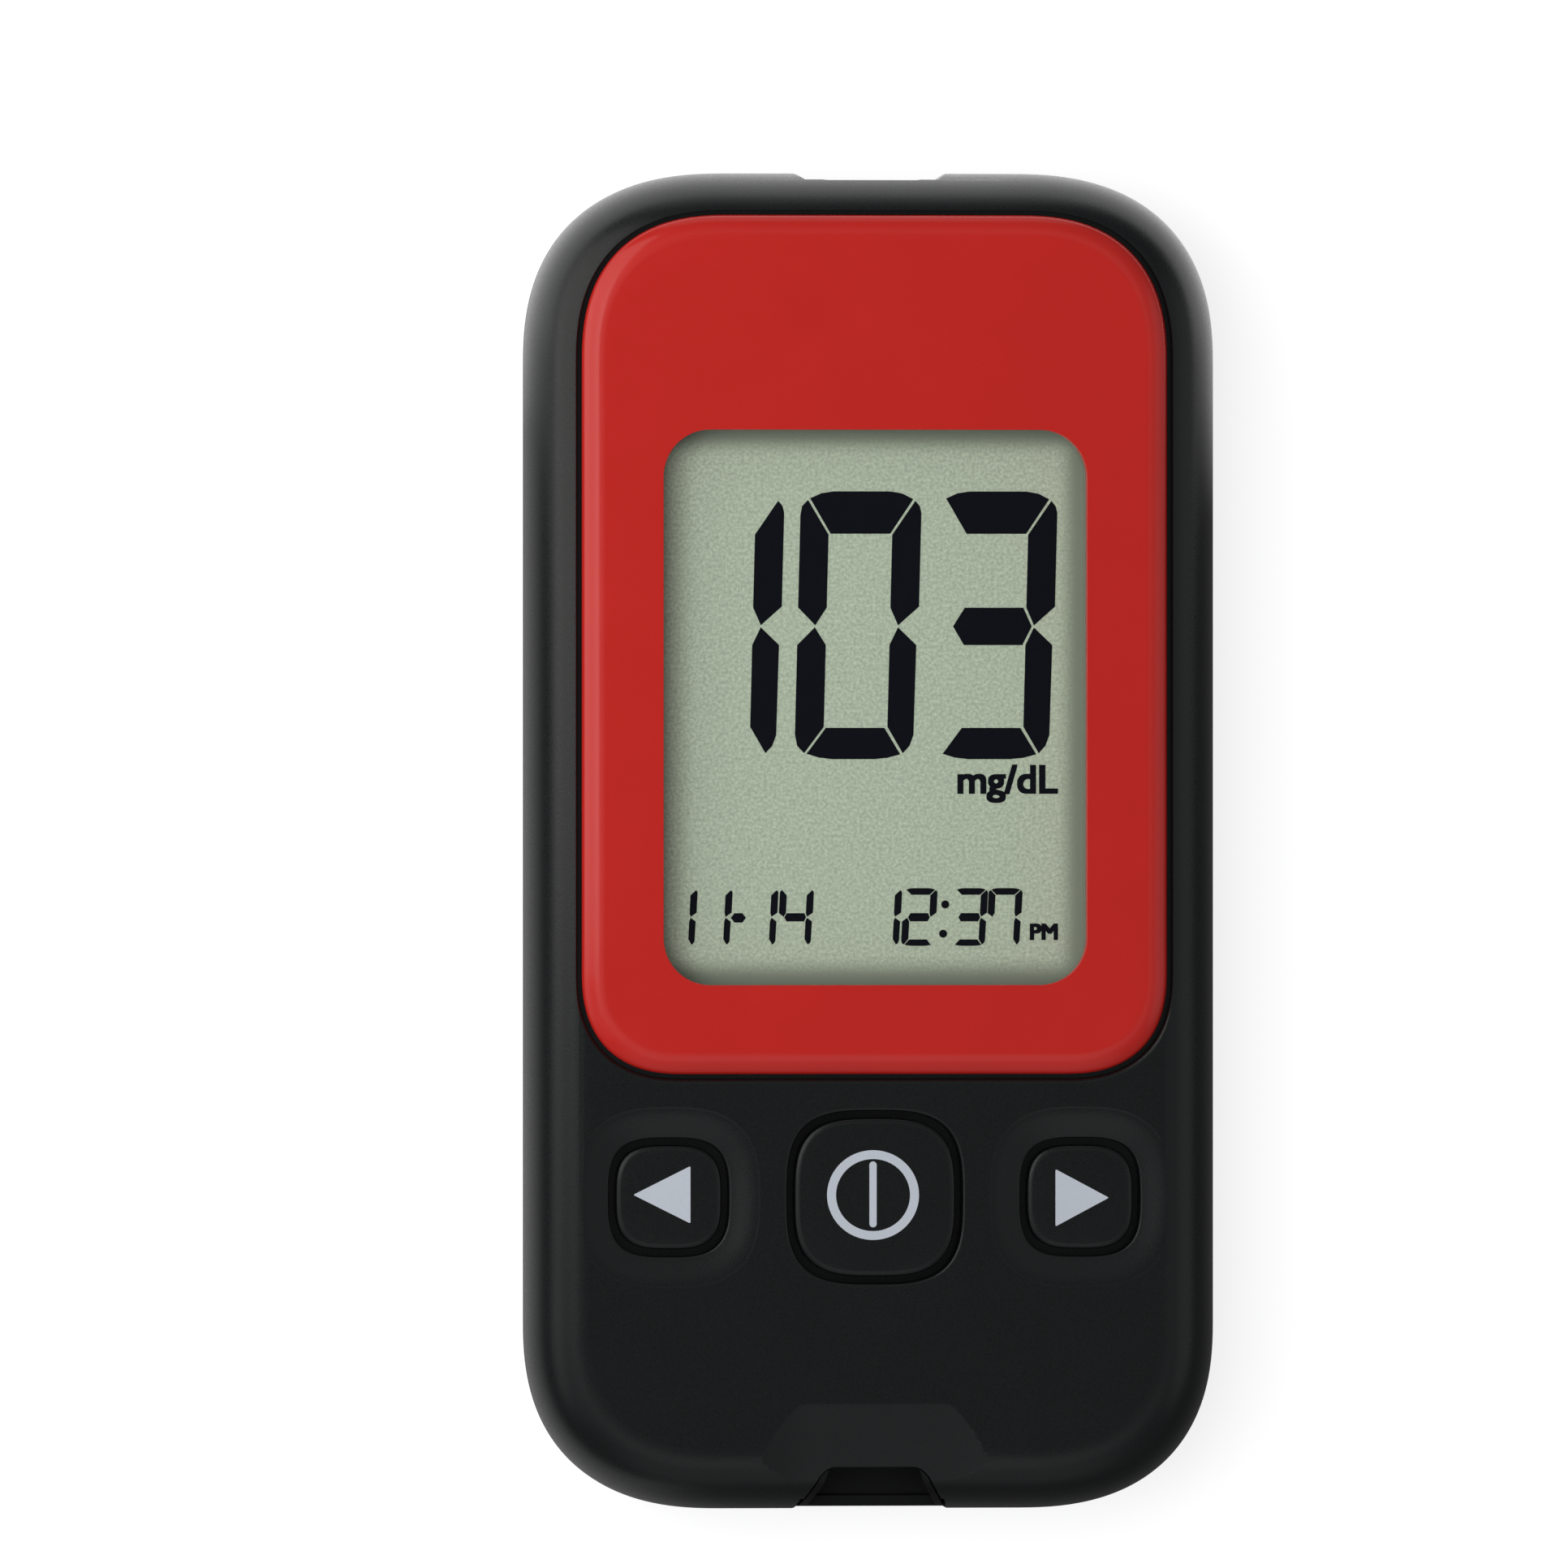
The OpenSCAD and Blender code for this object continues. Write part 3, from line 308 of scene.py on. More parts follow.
def post(x, y, low, high, diameter):
    """An upright round post between two heights."""
    bm = bmesh.new()
    bmesh.ops.create_cone(bm, cap_ends=True, segments=48, radius1=diameter / 2, radius2=diameter / 2,
                          depth=high - low)
    bmesh.ops.translate(bm, vec=(x, y, (low + high) / 2), verts=bm.verts)
    return bm


def flat_shape(points, low, high):
    """A thin upright prism on a polygon."""
    bm = bmesh.new()
    face = bm.faces.new([bm.verts.new((x, y, low)) for x, y in points])
    made = bmesh.ops.extrude_face_region(bm, geom=[face])["geom"]
    bmesh.ops.translate(bm, vec=(0, 0, high - low), verts=vertices(made))
    bmesh.ops.recalc_face_normals(bm, faces=bm.faces)
    return bm


def plain_object(bm, name):
    """An object of a shape, which is used up."""
    mesh = bpy.data.meshes.new(name)
    bm.to_mesh(mesh)
    bm.free()
    obj = bpy.data.objects.new(name, mesh)
    bpy.context.scene.collection.objects.link(obj)
    return obj


def carve(bm, tools, operation="DIFFERENCE"):
    """The shape left when other closed shapes are cut from it, or kept from it, one after another."""
    base = plain_object(bm, "blank")
    spent = [plain_object(tool, "tool") for tool in tools]
    for tool in spent:
        cut = base.modifiers.new("cut", "BOOLEAN")
        cut.operation, cut.solver, cut.object = operation, "EXACT", tool
    bpy.context.view_layer.update()
    depsgraph = bpy.context.evaluated_depsgraph_get()
    mesh = bpy.data.meshes.new_from_object(base.evaluated_get(depsgraph))
    if not mesh.polygons:
        raise RuntimeError("a carving left nothing")
    result = bmesh.new()
    result.from_mesh(mesh)
    bpy.data.meshes.remove(mesh)
    for obj in [base, *spent]:
        old = obj.data
        bpy.data.objects.remove(obj)
        bpy.data.meshes.remove(old)
    return result


def joined(parts):
    """Several separate shapes in one mesh."""
    whole = bmesh.new()
    for part in parts:
        mesh = bpy.data.meshes.new("part")
        part.to_mesh(mesh)
        part.free()
        whole.from_mesh(mesh)
        bpy.data.meshes.remove(mesh)
    return whole


def finished(bm, name, slot, body="case", replaces=(), material=None, soften=True):
    """Turns a shape in millimetres into a piece in metres that rides on a body."""
    bmesh.ops.remove_doubles(bm, verts=bm.verts, dist=WELD)
    bmesh.ops.dissolve_degenerate(bm, edges=bm.edges, dist=WELD)
    for face in bm.faces:
        face.smooth = True
    for edge in bm.edges:
        edge.smooth = len(edge.link_faces) == 2 and edge.calc_face_angle(math.pi) < CREASE
    bmesh.ops.scale(bm, vec=(MM, MM, MM), verts=bm.verts)
    obj = plain_object(bm, name)
    obj.data.materials.append(MATERIALS[material or slot])
    if soften:
        normals = obj.modifiers.new("Even shading", "WEIGHTED_NORMAL")
        normals.keep_sharp = True
        normals.weight = 80
    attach(obj, body)
    if replaces:
        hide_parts(*replaces)


# ------------------------------------------------------------------ materials

def add_node(tree, kind, settings=None, links=None):
    """Adds a node; settings are its own values or its inputs', links say what feeds an input."""
    node = tree.nodes.new("ShaderNode" + kind)
    for key, value in (settings or {}).items():
        if isinstance(key, str) and hasattr(node, key):
            setattr(node, key, value)
        else:
            node.inputs[key].default_value = value
    for key, (source, output) in (links or {}).items():
        tree.links.new(source.outputs[output], node.inputs[key])
    return node


def start_material(name):
    """A material with a shader and object coordinates, and nothing else yet."""
    material = bpy.data.materials.new(name)
    material.use_nodes = True
    tree = material.node_tree
    return material, tree, tree.nodes["Principled BSDF"], add_node(tree, "TexCoord")


def shade(colour, factor):
    """A colour made darker or lighter."""
    return tuple(min(c * factor, 1.0) for c in colour[:3]) + (1.0,)


def surface(name, colour, roughness, grain, height, variation=0.12, spread=0.06,
            stretch=(1, 1, 1), **inputs):
    """A surface whose colour, roughness and height vary with a grain of a real width in millimetres."""
    material, tree, shader, place = start_material(name)
    shape = add_node(tree, "Mapping", {"Scale": stretch}, {"Vector": (place, "Object")})
    fine = add_node(tree, "TexNoise", {"Scale": 1 / (grain * MM), "Detail": 3.0, "Roughness": 0.6},
                    {"Vector": (shape, "Vector")})
    broad = add_node(tree, "TexNoise", {"Scale": 1 / (30 * grain * MM), "Detail": 2.0},
                     {"Vector": (shape, "Vector")})
    both = add_node(tree, "Math", {"operation": "MULTIPLY"}, {0: (fine, "Fac"), 1: (broad, "Fac")})
    mix = add_node(tree, "Mix",
                   {"data_type": "RGBA", 6: shade(colour, 1 - variation), 7: shade(colour, 1 + variation)})
    ramp = add_node(tree, "MapRange", {"From Min": 0.1, "From Max": 0.4}, {"Value": (both, "Value")})
    tree.links.new(ramp.outputs["Result"], mix.inputs[0])
    tree.links.new(mix.outputs[2], shader.inputs["Base Color"])
    rough = add_node(tree, "MapRange",
                     {"From Min": 0.3, "From Max": 0.7,
                      "To Min": roughness - spread, "To Max": roughness + spread},
                     {"Value": (fine, "Fac")})
    tree.links.new(rough.outputs["Result"], shader.inputs["Roughness"])
    bump = add_node(tree, "Bump", {"Strength": 1.0, "Distance": height * MM}, {"Height": (fine, "Fac")})
    tree.links.new(bump.outputs["Normal"], shader.inputs["Normal"])
    for key, value in inputs.items():
        shader.inputs[key.replace("_", " ")].default_value = value
    return material


def edge_fade(tree, place, centre, half, reach):
    """A share that falls from 1 inside a rectangle towards its edges, over a reach in metres."""
    split = add_node(tree, "SeparateXYZ", {}, {"Vector": (place, "Object")})
    shares = []
    for axis, middle, extent in zip("XY", centre, half):
        shifted = add_node(tree, "Math", {"operation": "SUBTRACT", 1: middle}, {0: (split, axis)})
        away = add_node(tree, "Math", {"operation": "ABSOLUTE"}, {0: (shifted, "Value")})
        shares.append(add_node(tree, "MapRange",
                               {"interpolation_type": "SMOOTHERSTEP", "From Min": extent + reach * 0.25,
                                "From Max": extent - reach, "To Min": 0.0, "To Max": 1.0},
                               {"Value": (away, "Value")}))
    return add_node(tree, "Math", {"operation": "MULTIPLY"},
                    {0: (shares[0], "Result"), 1: (shares[1], "Result")})


def display_film(colour):
    """Reflective display: satin polariser film on glass, with the fine grain of its silvered backing, and a
    painted shade that darkens it towards the window's edges.
    """
    material, tree, shader, place = start_material("polariser_film_satin")
    # painted shade: the film's colour falls to half towards the window's edges, standing in for the shadow of
    # the window's walls; it is centred a little left of the window, away from the light
    painted_edge_shade = edge_fade(tree, place, (-1.12 * MM, (WINDOW_Y + 0.1) * MM), (16.37 * MM, 20.15 * MM), 1.75 * MM)
    grain = add_node(tree, "TexNoise", {"Scale": 1 / (0.24 * MM), "Detail": 1.5, "Roughness": 0.7},
                     {"Vector": (place, "Object")})
    spread = add_node(tree, "MapRange", {"From Min": 0.3, "From Max": 0.7}, {"Value": (grain, "Fac")})
    mix = add_node(tree, "Mix", {"data_type": "RGBA", 6: shade(colour, 0.8), 7: shade(colour, 1.2)},
                   {0: (spread, "Result")})
    # the painted shade: half the film's colour at the window's edges
    edge = add_node(tree, "Mix", {"data_type": "RGBA", 6: shade(colour, 0.5)},
                    {0: (painted_edge_shade, "Value"), 7: (mix, 2)})
    tree.links.new(edge.outputs[2], shader.inputs["Base Color"])
    shader.inputs["Roughness"].default_value = 0.5
    shader.inputs["Specular IOR Level"].default_value = 0.2
    return material


def clear_acrylic():
    """Clear polished acrylic: a thin lens that mostly lets light through and reflects a little."""
    material, tree, shader, place = start_material("acrylic_clear_polished")
    ripple = add_node(tree, "TexNoise", {"Scale": 1 / (9 * MM), "Detail": 1.0},
                      {"Vector": (place, "Object")})
    rough = add_node(tree, "MapRange", {"To Min": 0.03, "To Max": 0.07}, {"Value": (ripple, "Fac")})
    tree.links.new(rough.outputs["Result"], shader.inputs["Roughness"])
    shader.inputs["Base Color"].default_value = srgb("#1A1E1A")
    shader.inputs["Alpha"].default_value = 0.05
    shader.inputs["IOR"].default_value = 1.49
    return material


def solder_mask(colour):
    """Circuit board: green lacquer over copper tracks on glass laminate; the tracks show paler."""
    material, tree, shader, place = start_material("board_solder_mask")
    tracks = add_node(tree, "TexBrick",
                      {"Scale": 1 / (24 * MM), "Mortar Size": 0.012, "Mortar Smooth": 0.2, "offset": 0.37,
                       "Brick Width": 0.13, "Row Height": 0.05, "Color1": colour,
                       "Color2": shade(colour, 0.85), "Mortar": shade(colour, 1.9)},
                      {"Vector": (place, "Object")})
    tree.links.new(tracks.outputs["Color"], shader.inputs["Base Color"])
    bump = add_node(tree, "Bump", {"Strength": 0.4, "Distance": 0.03 * MM},
                    {"Height": (tracks, "Fac")})
    tree.links.new(bump.outputs["Normal"], shader.inputs["Normal"])
    shader.inputs["Roughness"].default_value = 0.32
    return material


def make_materials(colours):
    """Every finish on the meter, by the name of its slot in the record.

    The last numbers of a surface are its roughness, the width and height of its grain in
    millimetres, and how much its colour and roughness vary. Real grains under about 0.15 mm
    are drawn that wide, as finer ones wouldn't show.
    """
    body = tuple(colours.body)
    return {
        # ABS moulded against a spark-eroded tool: near black, with a soft broad sheen
        "case_front": surface("abs_black_fine_grain", body, 0.31, 0.16, 0.008),
        # the same on the back, from a slightly duller tool
        "case_back": surface("abs_black_fine_grain_back", shade(body, 0.92), 0.34, 0.16, 0.008),
        # clear acrylic moulded over red lacquer: a deep colour under a wet gloss
        "red_panel": surface("lacquered_acrylic_red", tuple(colours.panel), 0.16, 6.0, 0.004, 0.03, 0.02),
        "clear_lens": clear_acrylic(),
        # open-celled foam: dull black with fine pits
        "foam": surface("foam_black", srgb("#262626"), 0.95, 0.3, 0.1, 0.3),
        "display": display_film(tuple(colours.display)),
        # rolled pearly film: pale, even and satin
        "reflector": surface("reflector_film", srgb("#C9CFC2"), 0.4, 0.2, 0.004, 0.05),
        # unfilled nylon, moulded: milky and slightly waxy
        "white_plastic": surface("nylon_natural_moulded", srgb("#E4E2D8"), 0.45, 0.5, 0.008, 0.05),
        # silicone built up of thin stripes, some conducting: pink, dull and streaked across
        "pink_rubber": surface("striped_connector_rubber", srgb("#D98F9A"), 0.6, 0.3, 0.01, 0.3,
                               stretch=(1, 0.05, 1)),
        "board": solder_mask(srgb("#1F6A3C")),
        # moulded epoxy: a fine dull black
        "chip_black": surface("epoxy_chip_black", srgb("#26282B"), 0.55, 0.2, 0.01),
        # drawn steel with nickel plate: bright, with faint drawing lines
        "plated_steel": surface("nickel_plated_steel", srgb("#BDBFC2"), 0.3, 0.15, 0.004, 0.06,
                                stretch=(1, 0.1, 1), Metallic=1.0),
        # fired ceramic: dull tan with specks
        "ceramic_tan": surface("fired_ceramic_tan", srgb("#B99B72"), 0.6, 0.2, 0.01, 0.2),
        # bead dipped in epoxy: smooth blue with a slight gloss
        "sensor_blue": surface("coated_bead_blue", srgb("#3D5F9A"), 0.35, 0.3, 0.01),
        # PBT, moulded: a deep black that mirrors little; the insert's own black, drawn a little darker than
        # the case as painted shade that deepens the strip mouth
        "port_plastic": surface("pbt_black_moulded", srgb("#0A0B0B"), 0.5, 0.2, 0.01,
                                Specular_IOR_Level=0.28),
        # stamped spring strip with gold plate: warm and bright
        "gold_plate": surface("gold_plated_spring", srgb("#D8B25A"), 0.25, 0.15, 0.003, 0.05, Metallic=1.0),
        # moulded silicone: grey, dull and soft
        "silicone": surface("silicone_grey_moulded", srgb("#4A4D50"), 0.65, 0.3, 0.01),
        # ABS moulded with a finer grain than the case: near black satin
        "key_plastic": surface("abs_black_satin_key", shade(body, 0.95), 0.31, 0.16, 0.006),
        # silicone filled with carbon: matt black
        "carbon_rubber": surface("carbon_rubber_pill", srgb("#151617"), 0.8, 0.2, 0.01),
        # deep-drawn stainless steel: bright, with fine lines
        "cell_steel": surface("cell_bright_steel", srgb("#CFD0D1"), 0.28, 0.15, 0.003, 0.05,
                              stretch=(1, 0.06, 1), Metallic=1.0),
        # stamped bronze strip with tin plate: pale and bright
        "spring_metal": surface("spring_bronze_plated", srgb("#D6C79A"), 0.3, 0.15, 0.003, 0.06,
                                Metallic=1.0),
        # pad print in silver grey: slightly raised, with a flat sheen
        "key_print": surface("silver_pad_print", tuple(colours.icon), 0.45, 0.2, 0.004, 0.03),
        # liquid crystal between polarisers: a flat dark blue black
        "segment_ink": surface("display_segment_dark", tuple(colours.ink), 0.5, 0.3, 0.002, 0.05,
                               Specular_IOR_Level=0.1),
    }


MATERIALS = {}


# ------------------------------------------------------------------ shared cutting shapes

# Depth of the notch at the strip end
LOW_NOTCH_DEPTH = 0.2


def end_notches(s):
    """Cutters for the flat notches at both ends of the case, whose ends slope outwards."""
    cuts = []
    for sign, depth, width in ((1, s.notch_depth, s.notch_w), (-1, LOW_NOTCH_DEPTH, s.notch_w + 1.15)):
        side = 1.5 * depth / s.notch_depth
        inner, outer = CASE_END - depth, CASE_END + depth
        outline = [(-width / 2 - side, sign * outer), (-width / 2, sign * inner),
                   (width / 2, sign * inner), (width / 2 + side, sign * outer)]
        cuts.append(prism(outline, -PAST, TOP_Z + PAST))
    return cuts


# Heights of the mouth's floor, the strip slot and the insert's back wall
MOUTH_LOW = PORT_LOW.z
SLOT_Z = MOUTH_LOW + 1
PORT_TOP = SLOT_Z + 2
# Gap between the insert's front and its back wall's place under the plate
PORT_STEP = 0.1
MOUTH_CORNER = 1.0
MOUTH_LEVELS = 8
# How much the mouth widens, per millimetre of height and of the way towards the end of the case
MOUTH_FLARE = 0.017


def mouth(s, grow, back, low=MOUTH_LOW, high=None):
    """The strip mouth: wide below, narrow above, with round corners at its back."""
    front = -CASE_END - 4 * PAST
    top = FACE_Z - 0.4
    slope = (s.mouth_low_w - s.mouth_top_w) / 2 / (top - MOUTH_LOW)
    rings = []
    floor, roof = low - grow, high or FACE_Z + PAST
    for z in (floor + (roof - floor) * i / MOUTH_LEVELS for i in range(MOUTH_LEVELS + 1)):
        half = s.mouth_low_w / 2 - slope * (z - MOUTH_LOW) + grow
        flare = MOUTH_FLARE * (z - MOUTH_LOW)
        outline = round_rect((0, (front + back) / 2), (2 * half, back - front), MOUTH_CORNER + grow, 12)
        rings.append(([(x * (1 + flare * max(back - 0.4 - y, 0.0)), y) for x, y in outline], z))
    return loft(rings)


def mouth_pocket(s, margin):
    """The mouth, with a deeper lower part for the insert's back wall, as two shapes."""
    back = s.mouth_depth - CASE_END
    return [mouth(s, margin, back - PORT_STEP + margin),
            mouth(s, margin, PORT_HIGH.y + 3 * margin, high=PORT_TOP + margin)]


def scoop(s, drop=0.0):
    """Cutter for the thumb scoop before the mouth: a tilted hollow with soft shoulders."""
    half_w, past, slope = 13, 1.5, math.tan(math.radians(7))
    bm = bmesh.new()
    bmesh.ops.create_grid(bm, x_segments=56, y_segments=40, size=1.0)
    start = s.ramp_l - CASE_END
    for vert in bm.verts:
        x = vert.co.x * half_w
        y = start + past - (1 - vert.co.y) / 2 * (s.ramp_l + 2 * past)
        side = max(abs(x) - s.ramp_w / 2, 0.0)
        # the shoulders start softly and go on almost straight
        lift = 0.02 * side ** 2 + 0.1 * side ** 2 / (side + 1.2)
        vert.co = (x, y, FACE_Z - drop - slope * (start - y) + lift)
    top = bmesh.ops.extrude_face_region(bm, geom=list(bm.faces))["geom"]
    for vert in vertices(top):
        vert.co.z = FACE_Z + 6
    bmesh.ops.recalc_face_normals(bm, faces=bm.faces)
    return bm


def front_rings(s, count=22):
    """Rings of the front half's outer surface, from the seam up."""
    height = FACE_Z - SEAM_Z
    rings = [(case_outline(s, s.seam), SEAM_Z), (case_outline(s, 0.02), SEAM_Z + s.seam)]
    for i in range(1, count + 1):
        inward, up = roll(i / count)
        rings.append((case_outline(s, s.front_roll * inward), SEAM_Z + height * up))
    return rings


def rear_rings(s, count=20):
    """Rings of the rear half's outer surface, from the back up to the seam."""
    rings = []
    for i in range(count, 0, -1):
        inward, up = roll(i / count)
        rings.append((case_outline(s, s.back_roll * inward), SEAM_Z * (1 - up)))
    return rings + [(case_outline(s, 0.02), SEAM_Z - s.seam), (case_outline(s, s.seam), SEAM_Z)]


def key_ring(x, half, z, power=KEY_POWER):
    """A ring about a key's centre, at a height."""
    return squircle((x, KEY_Y), half, power), z


def key_opening(s, x, size, rim, flare):
    """Cutter for a key's opening, whose upper edge is rounded."""
    half = [d / 2 + s.key_gap for d in size]
    rings = [key_ring(x, half, FACE_Z - s.plate - PAST)]
    for i in range(7):
        angle = math.pi / 2 * i / 6
        grow = flare * (1 - math.cos(angle))
        rings.append(key_ring(x, [h + grow for h in half], rim - flare * (1 - math.sin(angle))))
    rings.append(key_ring(x, [h + flare for h in half], FACE_Z + 2))
    return loft(rings)


def key_dish(s, x):
    """Cutter for the shallow dish round an arrow key; its wall curves at its foot and its rim."""
    steps = 14
    levels = []
    for i in range(steps + 1):
        t = i / steps
        rise = t * t * (3 - 2 * t)
        levels.append((0.6 + 0.4 * t, FACE_Z - s.dish_depth * (1 - rise * 0.985)))
    levels += [(1.012, FACE_Z + 0.02), (1.012, FACE_Z + PAST)]
    half = (s.dish_w / 2, s.dish_l / 2)
    return loft([key_ring(x, [h * share for h in half], z, DISH_POWER) for share, z in levels])


# ------------------------------------------------------------------ operators

class METER_OT_front_shell(bpy.types.Operator):
    """Front half of the case, with the recess, dishes, scoop and openings"""

    bl_idname = "meter.front_shell"
    bl_label = "Front shell"

    def execute(self, context):
        s = sizes(context)
        ceiling = FACE_Z - s.plate
        space = [(case_outline(s, s.wall), SEAM_Z - PAST)]
        for i in range(ARC_STEPS + 1):
            inward, up = roll(i / ARC_STEPS)
            space.append((case_outline(s, s.wall + (s.front_roll - s.wall / 2) * inward),
                          SEAM_Z + (ceiling - SEAM_Z) * up))
        recess = [(panel_outline(s, -s.groove), PANEL_LOW.z)]
        for i in range(ARC_STEPS + 1):
            angle = math.pi / 2 * i / ARC_STEPS
            recess.append((panel_outline(s, -s.groove - s.rim_round * (1 - math.cos(angle))),
                           FACE_Z - s.rim_round * (1 - math.sin(angle))))
        recess.append((panel_outline(s, -s.groove - s.rim_round), TOP_Z + PAST))
        lens = (LENS_HIGH.x - LENS_LOW.x + 0.3, LENS_HIGH.y - LENS_LOW.y + 0.3)
        window = prism(round_rect((0, WINDOW_Y), lens, s.window_r + 1.4, 12), ceiling - PAST, TOP_Z)
        # the data socket's pocket is drawn upright and laid down
        socket = (SHELL_HIGH.x - SHELL_LOW.x + 0.8, SHELL_HIGH.z - SHELL_LOW.z + 0.7)
        pocket = prism(round_rect((0, 0), socket, 1.0, 10), 0, SHELL_HIGH.y - SHELL_LOW.y + 2)
        turn = (Matrix.Translation((0, SHELL_LOW.y - 0.3, (SHELL_LOW.z + SHELL_HIGH.z) / 2))
                @ Matrix.Rotation(-math.pi / 2, 4, "X"))
        bmesh.ops.transform(pocket, matrix=turn, verts=pocket.verts)
        side, rim = (s.side_key_w, s.side_key_l), FACE_Z - s.dish_depth + 0.05
        cuts = [loft(space), loft(recess), window, key_dish(s, -KEY_X), key_dish(s, KEY_X),
                key_opening(s, -KEY_X, side, rim, 0.18), key_opening(s, KEY_X, side, rim, 0.18),
                key_opening(s, 0, (s.power_key_w, s.power_key_l), FACE_Z, 0.22),
                scoop(s), *mouth_pocket(s, 0.1), pocket, *end_notches(s)]
        finished(carve(loft(front_rings(s)), cuts), "front_shell", "case_front", replaces=("front_case",))
        return {"FINISHED"}


class METER_OT_rear_shell(bpy.types.Operator):
    """Rear half of the case, with the battery bay, the screw wells and the lining-up lip"""

    bl_idname = "meter.rear_shell"
    bl_label = "Rear shell"

    def execute(self, context):
        s = sizes(context)
        screws = [(x, y) for x in (SCREW_LOW.x + HEAD_R, SCREW_HIGH.x - HEAD_R)
                  for y in (SCREW_LOW.y + HEAD_R, SCREW_HIGH.y - HEAD_R)]
        cells_low, cells_high = box_mm("coin_cells")
        bay_low, bay_high = cells_low.y - 0.3, cells_high.y + 0.3
        bay_half = cells_high.x + 0.4
        ceiling = cells_high.z + 1.2
        ledge_x = bay_half + 1.3
        space = []
        for i in range(ARC_STEPS, -1, -1):
            inward, up = roll(i / ARC_STEPS)
            space.append((case_outline(s, s.wall + (s.back_roll - s.wall / 2) * inward),
                          SEAM_Z - (SEAM_Z - s.wall) * up))
        space.append((case_outline(s, s.wall), SEAM_Z + PAST))
        # what is left standing inside: the bay's walls, two ribs under the board and the screw posts
        ribs = [block((-30, y - 0.6, -2), (30, y + 0.6, BOARD_LOW.z)) for y in (KEY_Y - 12.5, KEY_Y + 15.5)]
        bay = block((-ledge_x - 2.3, bay_low - 1.4, -2), (ledge_x + 2.3, CASE_END + 2, ceiling + PAST))
        post_d, hole_d, well_top = 5.6, 2.0, 3.55
        posts = [post(x, y, -2, BOARD_LOW.z, post_d) for x, y in screws]
        hollow = carve(loft(space), [bay, *ribs, *posts])
        # the cover's seat, the bay, the room over its ledges, and the ways of the cover's hooks
        skin = COVER_LOW.z + 1.1
        cuts = [hollow,
                block((COVER_LOW.x - 0.15, COVER_LOW.y - 0.15, -PAST),
                      (COVER_HIGH.x + 0.15, CASE_END + PAST, skin)),
                block((-bay_half, bay_low, -PAST), (bay_half, bay_high, ceiling)),
                block((-ledge_x, bay_low, -PAST), (ledge_x, bay_high, skin + 2.0))]
        for y in (bay_low + 4, bay_low + 26):
            way, drop = ledge_x + 1.15, ledge_x + 1.1
            cuts.append(block((-way, y - 0.3, skin + 0.8), (way, y + 13.3, skin + 2.0)))
            cuts.append(block((-drop, y + 7.8, -PAST), (drop, y + 13.2, skin + 1.3)))
        for x, y in screws:
            cuts.append(post(x, y, -PAST, well_top, WELL_D))
            cuts.append(post(x, y, -PAST, 14, hole_d))
        shell = carve(loft(rear_rings(s)), cuts + end_notches(s))
        lip = loft([(case_outline(s, s.wall + inset), SEAM_Z + rise)
                    for inset, rise in ((0.15, -0.4), (0.15, 0.9), (0.95, 0.9), (0.95, -0.4))], tube=True)
        finished(joined([shell, lip]), "rear_shell", "case_back", replaces=("rear_case",))
        return {"FINISHED"}


class METER_OT_red_panel(bpy.types.Operator):
    """Glossy red panel with a rounded edge and the window through it"""

    bl_idname = "meter.red_panel"
    bl_label = "Red panel"

    def execute(self, context):
        s = sizes(context)
        corner, soft, arc, lip = 0.1, 0.06, 14, 5
        rings = [(panel_outline(s, corner), PANEL_LOW.z), (panel_outline(s, 0), PANEL_LOW.z + corner)]
        # the edge rolls over in one arc whose radius gives both its width and its height
        radius = (s.panel_edge_w ** 2 + s.panel_edge_h ** 2) / (2 * s.panel_edge_h)
        sweep = math.asin(s.panel_edge_w / radius)
        rings.append((panel_outline(s, 0), TOP_Z - s.panel_edge_h - corner))
        for i in range(arc + 1):
            angle = sweep * (1 - i / arc)
            inset = corner / 2 * (i < 1) + s.panel_edge_w - radius * math.sin(angle)
            rings.append((panel_outline(s, inset), TOP_Z - radius * (1 - math.cos(angle))))
        for i in range(lip + 1):
            angle = math.pi / 2 * i / lip
            grow = soft * (1 - math.sin(angle))
            rings.append((round_rect((0, WINDOW_Y), (s.window_w + 2 * grow, s.window_l + 2 * grow),
                                     s.window_r + grow), TOP_Z - soft * (1 - math.cos(angle))))
        rings.append((round_rect((0, WINDOW_Y), (s.window_w, s.window_l), s.window_r), PANEL_LOW.z))
        finished(loft(rings, tube=True), "red_face", "red_panel", replaces=("face_panel",))
        return {"FINISHED"}


class METER_OT_window_lens(bpy.types.Operator):
    """Clear lens with its hidden flange"""

    bl_idname = "meter.window_lens"
    bl_label = "Window lens"

    def execute(self, context):
        s = sizes(context)
        gap, corner, step = 0.15, 0.1, PANEL_LOW.z
        size = (s.window_w - 2 * gap, s.window_l - 2 * gap)
        wide = (LENS_HIGH.x - LENS_LOW.x, LENS_HIGH.y - LENS_LOW.y)
        top = (size[0] - 2 * corner, size[1] - 2 * corner)
        levels = ((wide, s.window_r + 1.2, LENS_LOW.z), (wide, s.window_r + 1.2, step),
                  (size, s.window_r - gap, step), (size, s.window_r - gap, LENS_HIGH.z - corner),
                  (top, s.window_r - gap - corner, LENS_HIGH.z))
        rings = [(round_rect((0, WINDOW_Y), extent, radius, 16), z) for extent, radius, z in levels]
        finished(loft(rings), "lens_plate", "clear_lens", replaces=("display_window",))
        return {"FINISHED"}


# Which bars of a seven-bar digit are lit
LIT = {"0": "abcdef", "1": "bc", "2": "abged", "3": "abgcd", "4": "fgbc", "7": "fabc"}


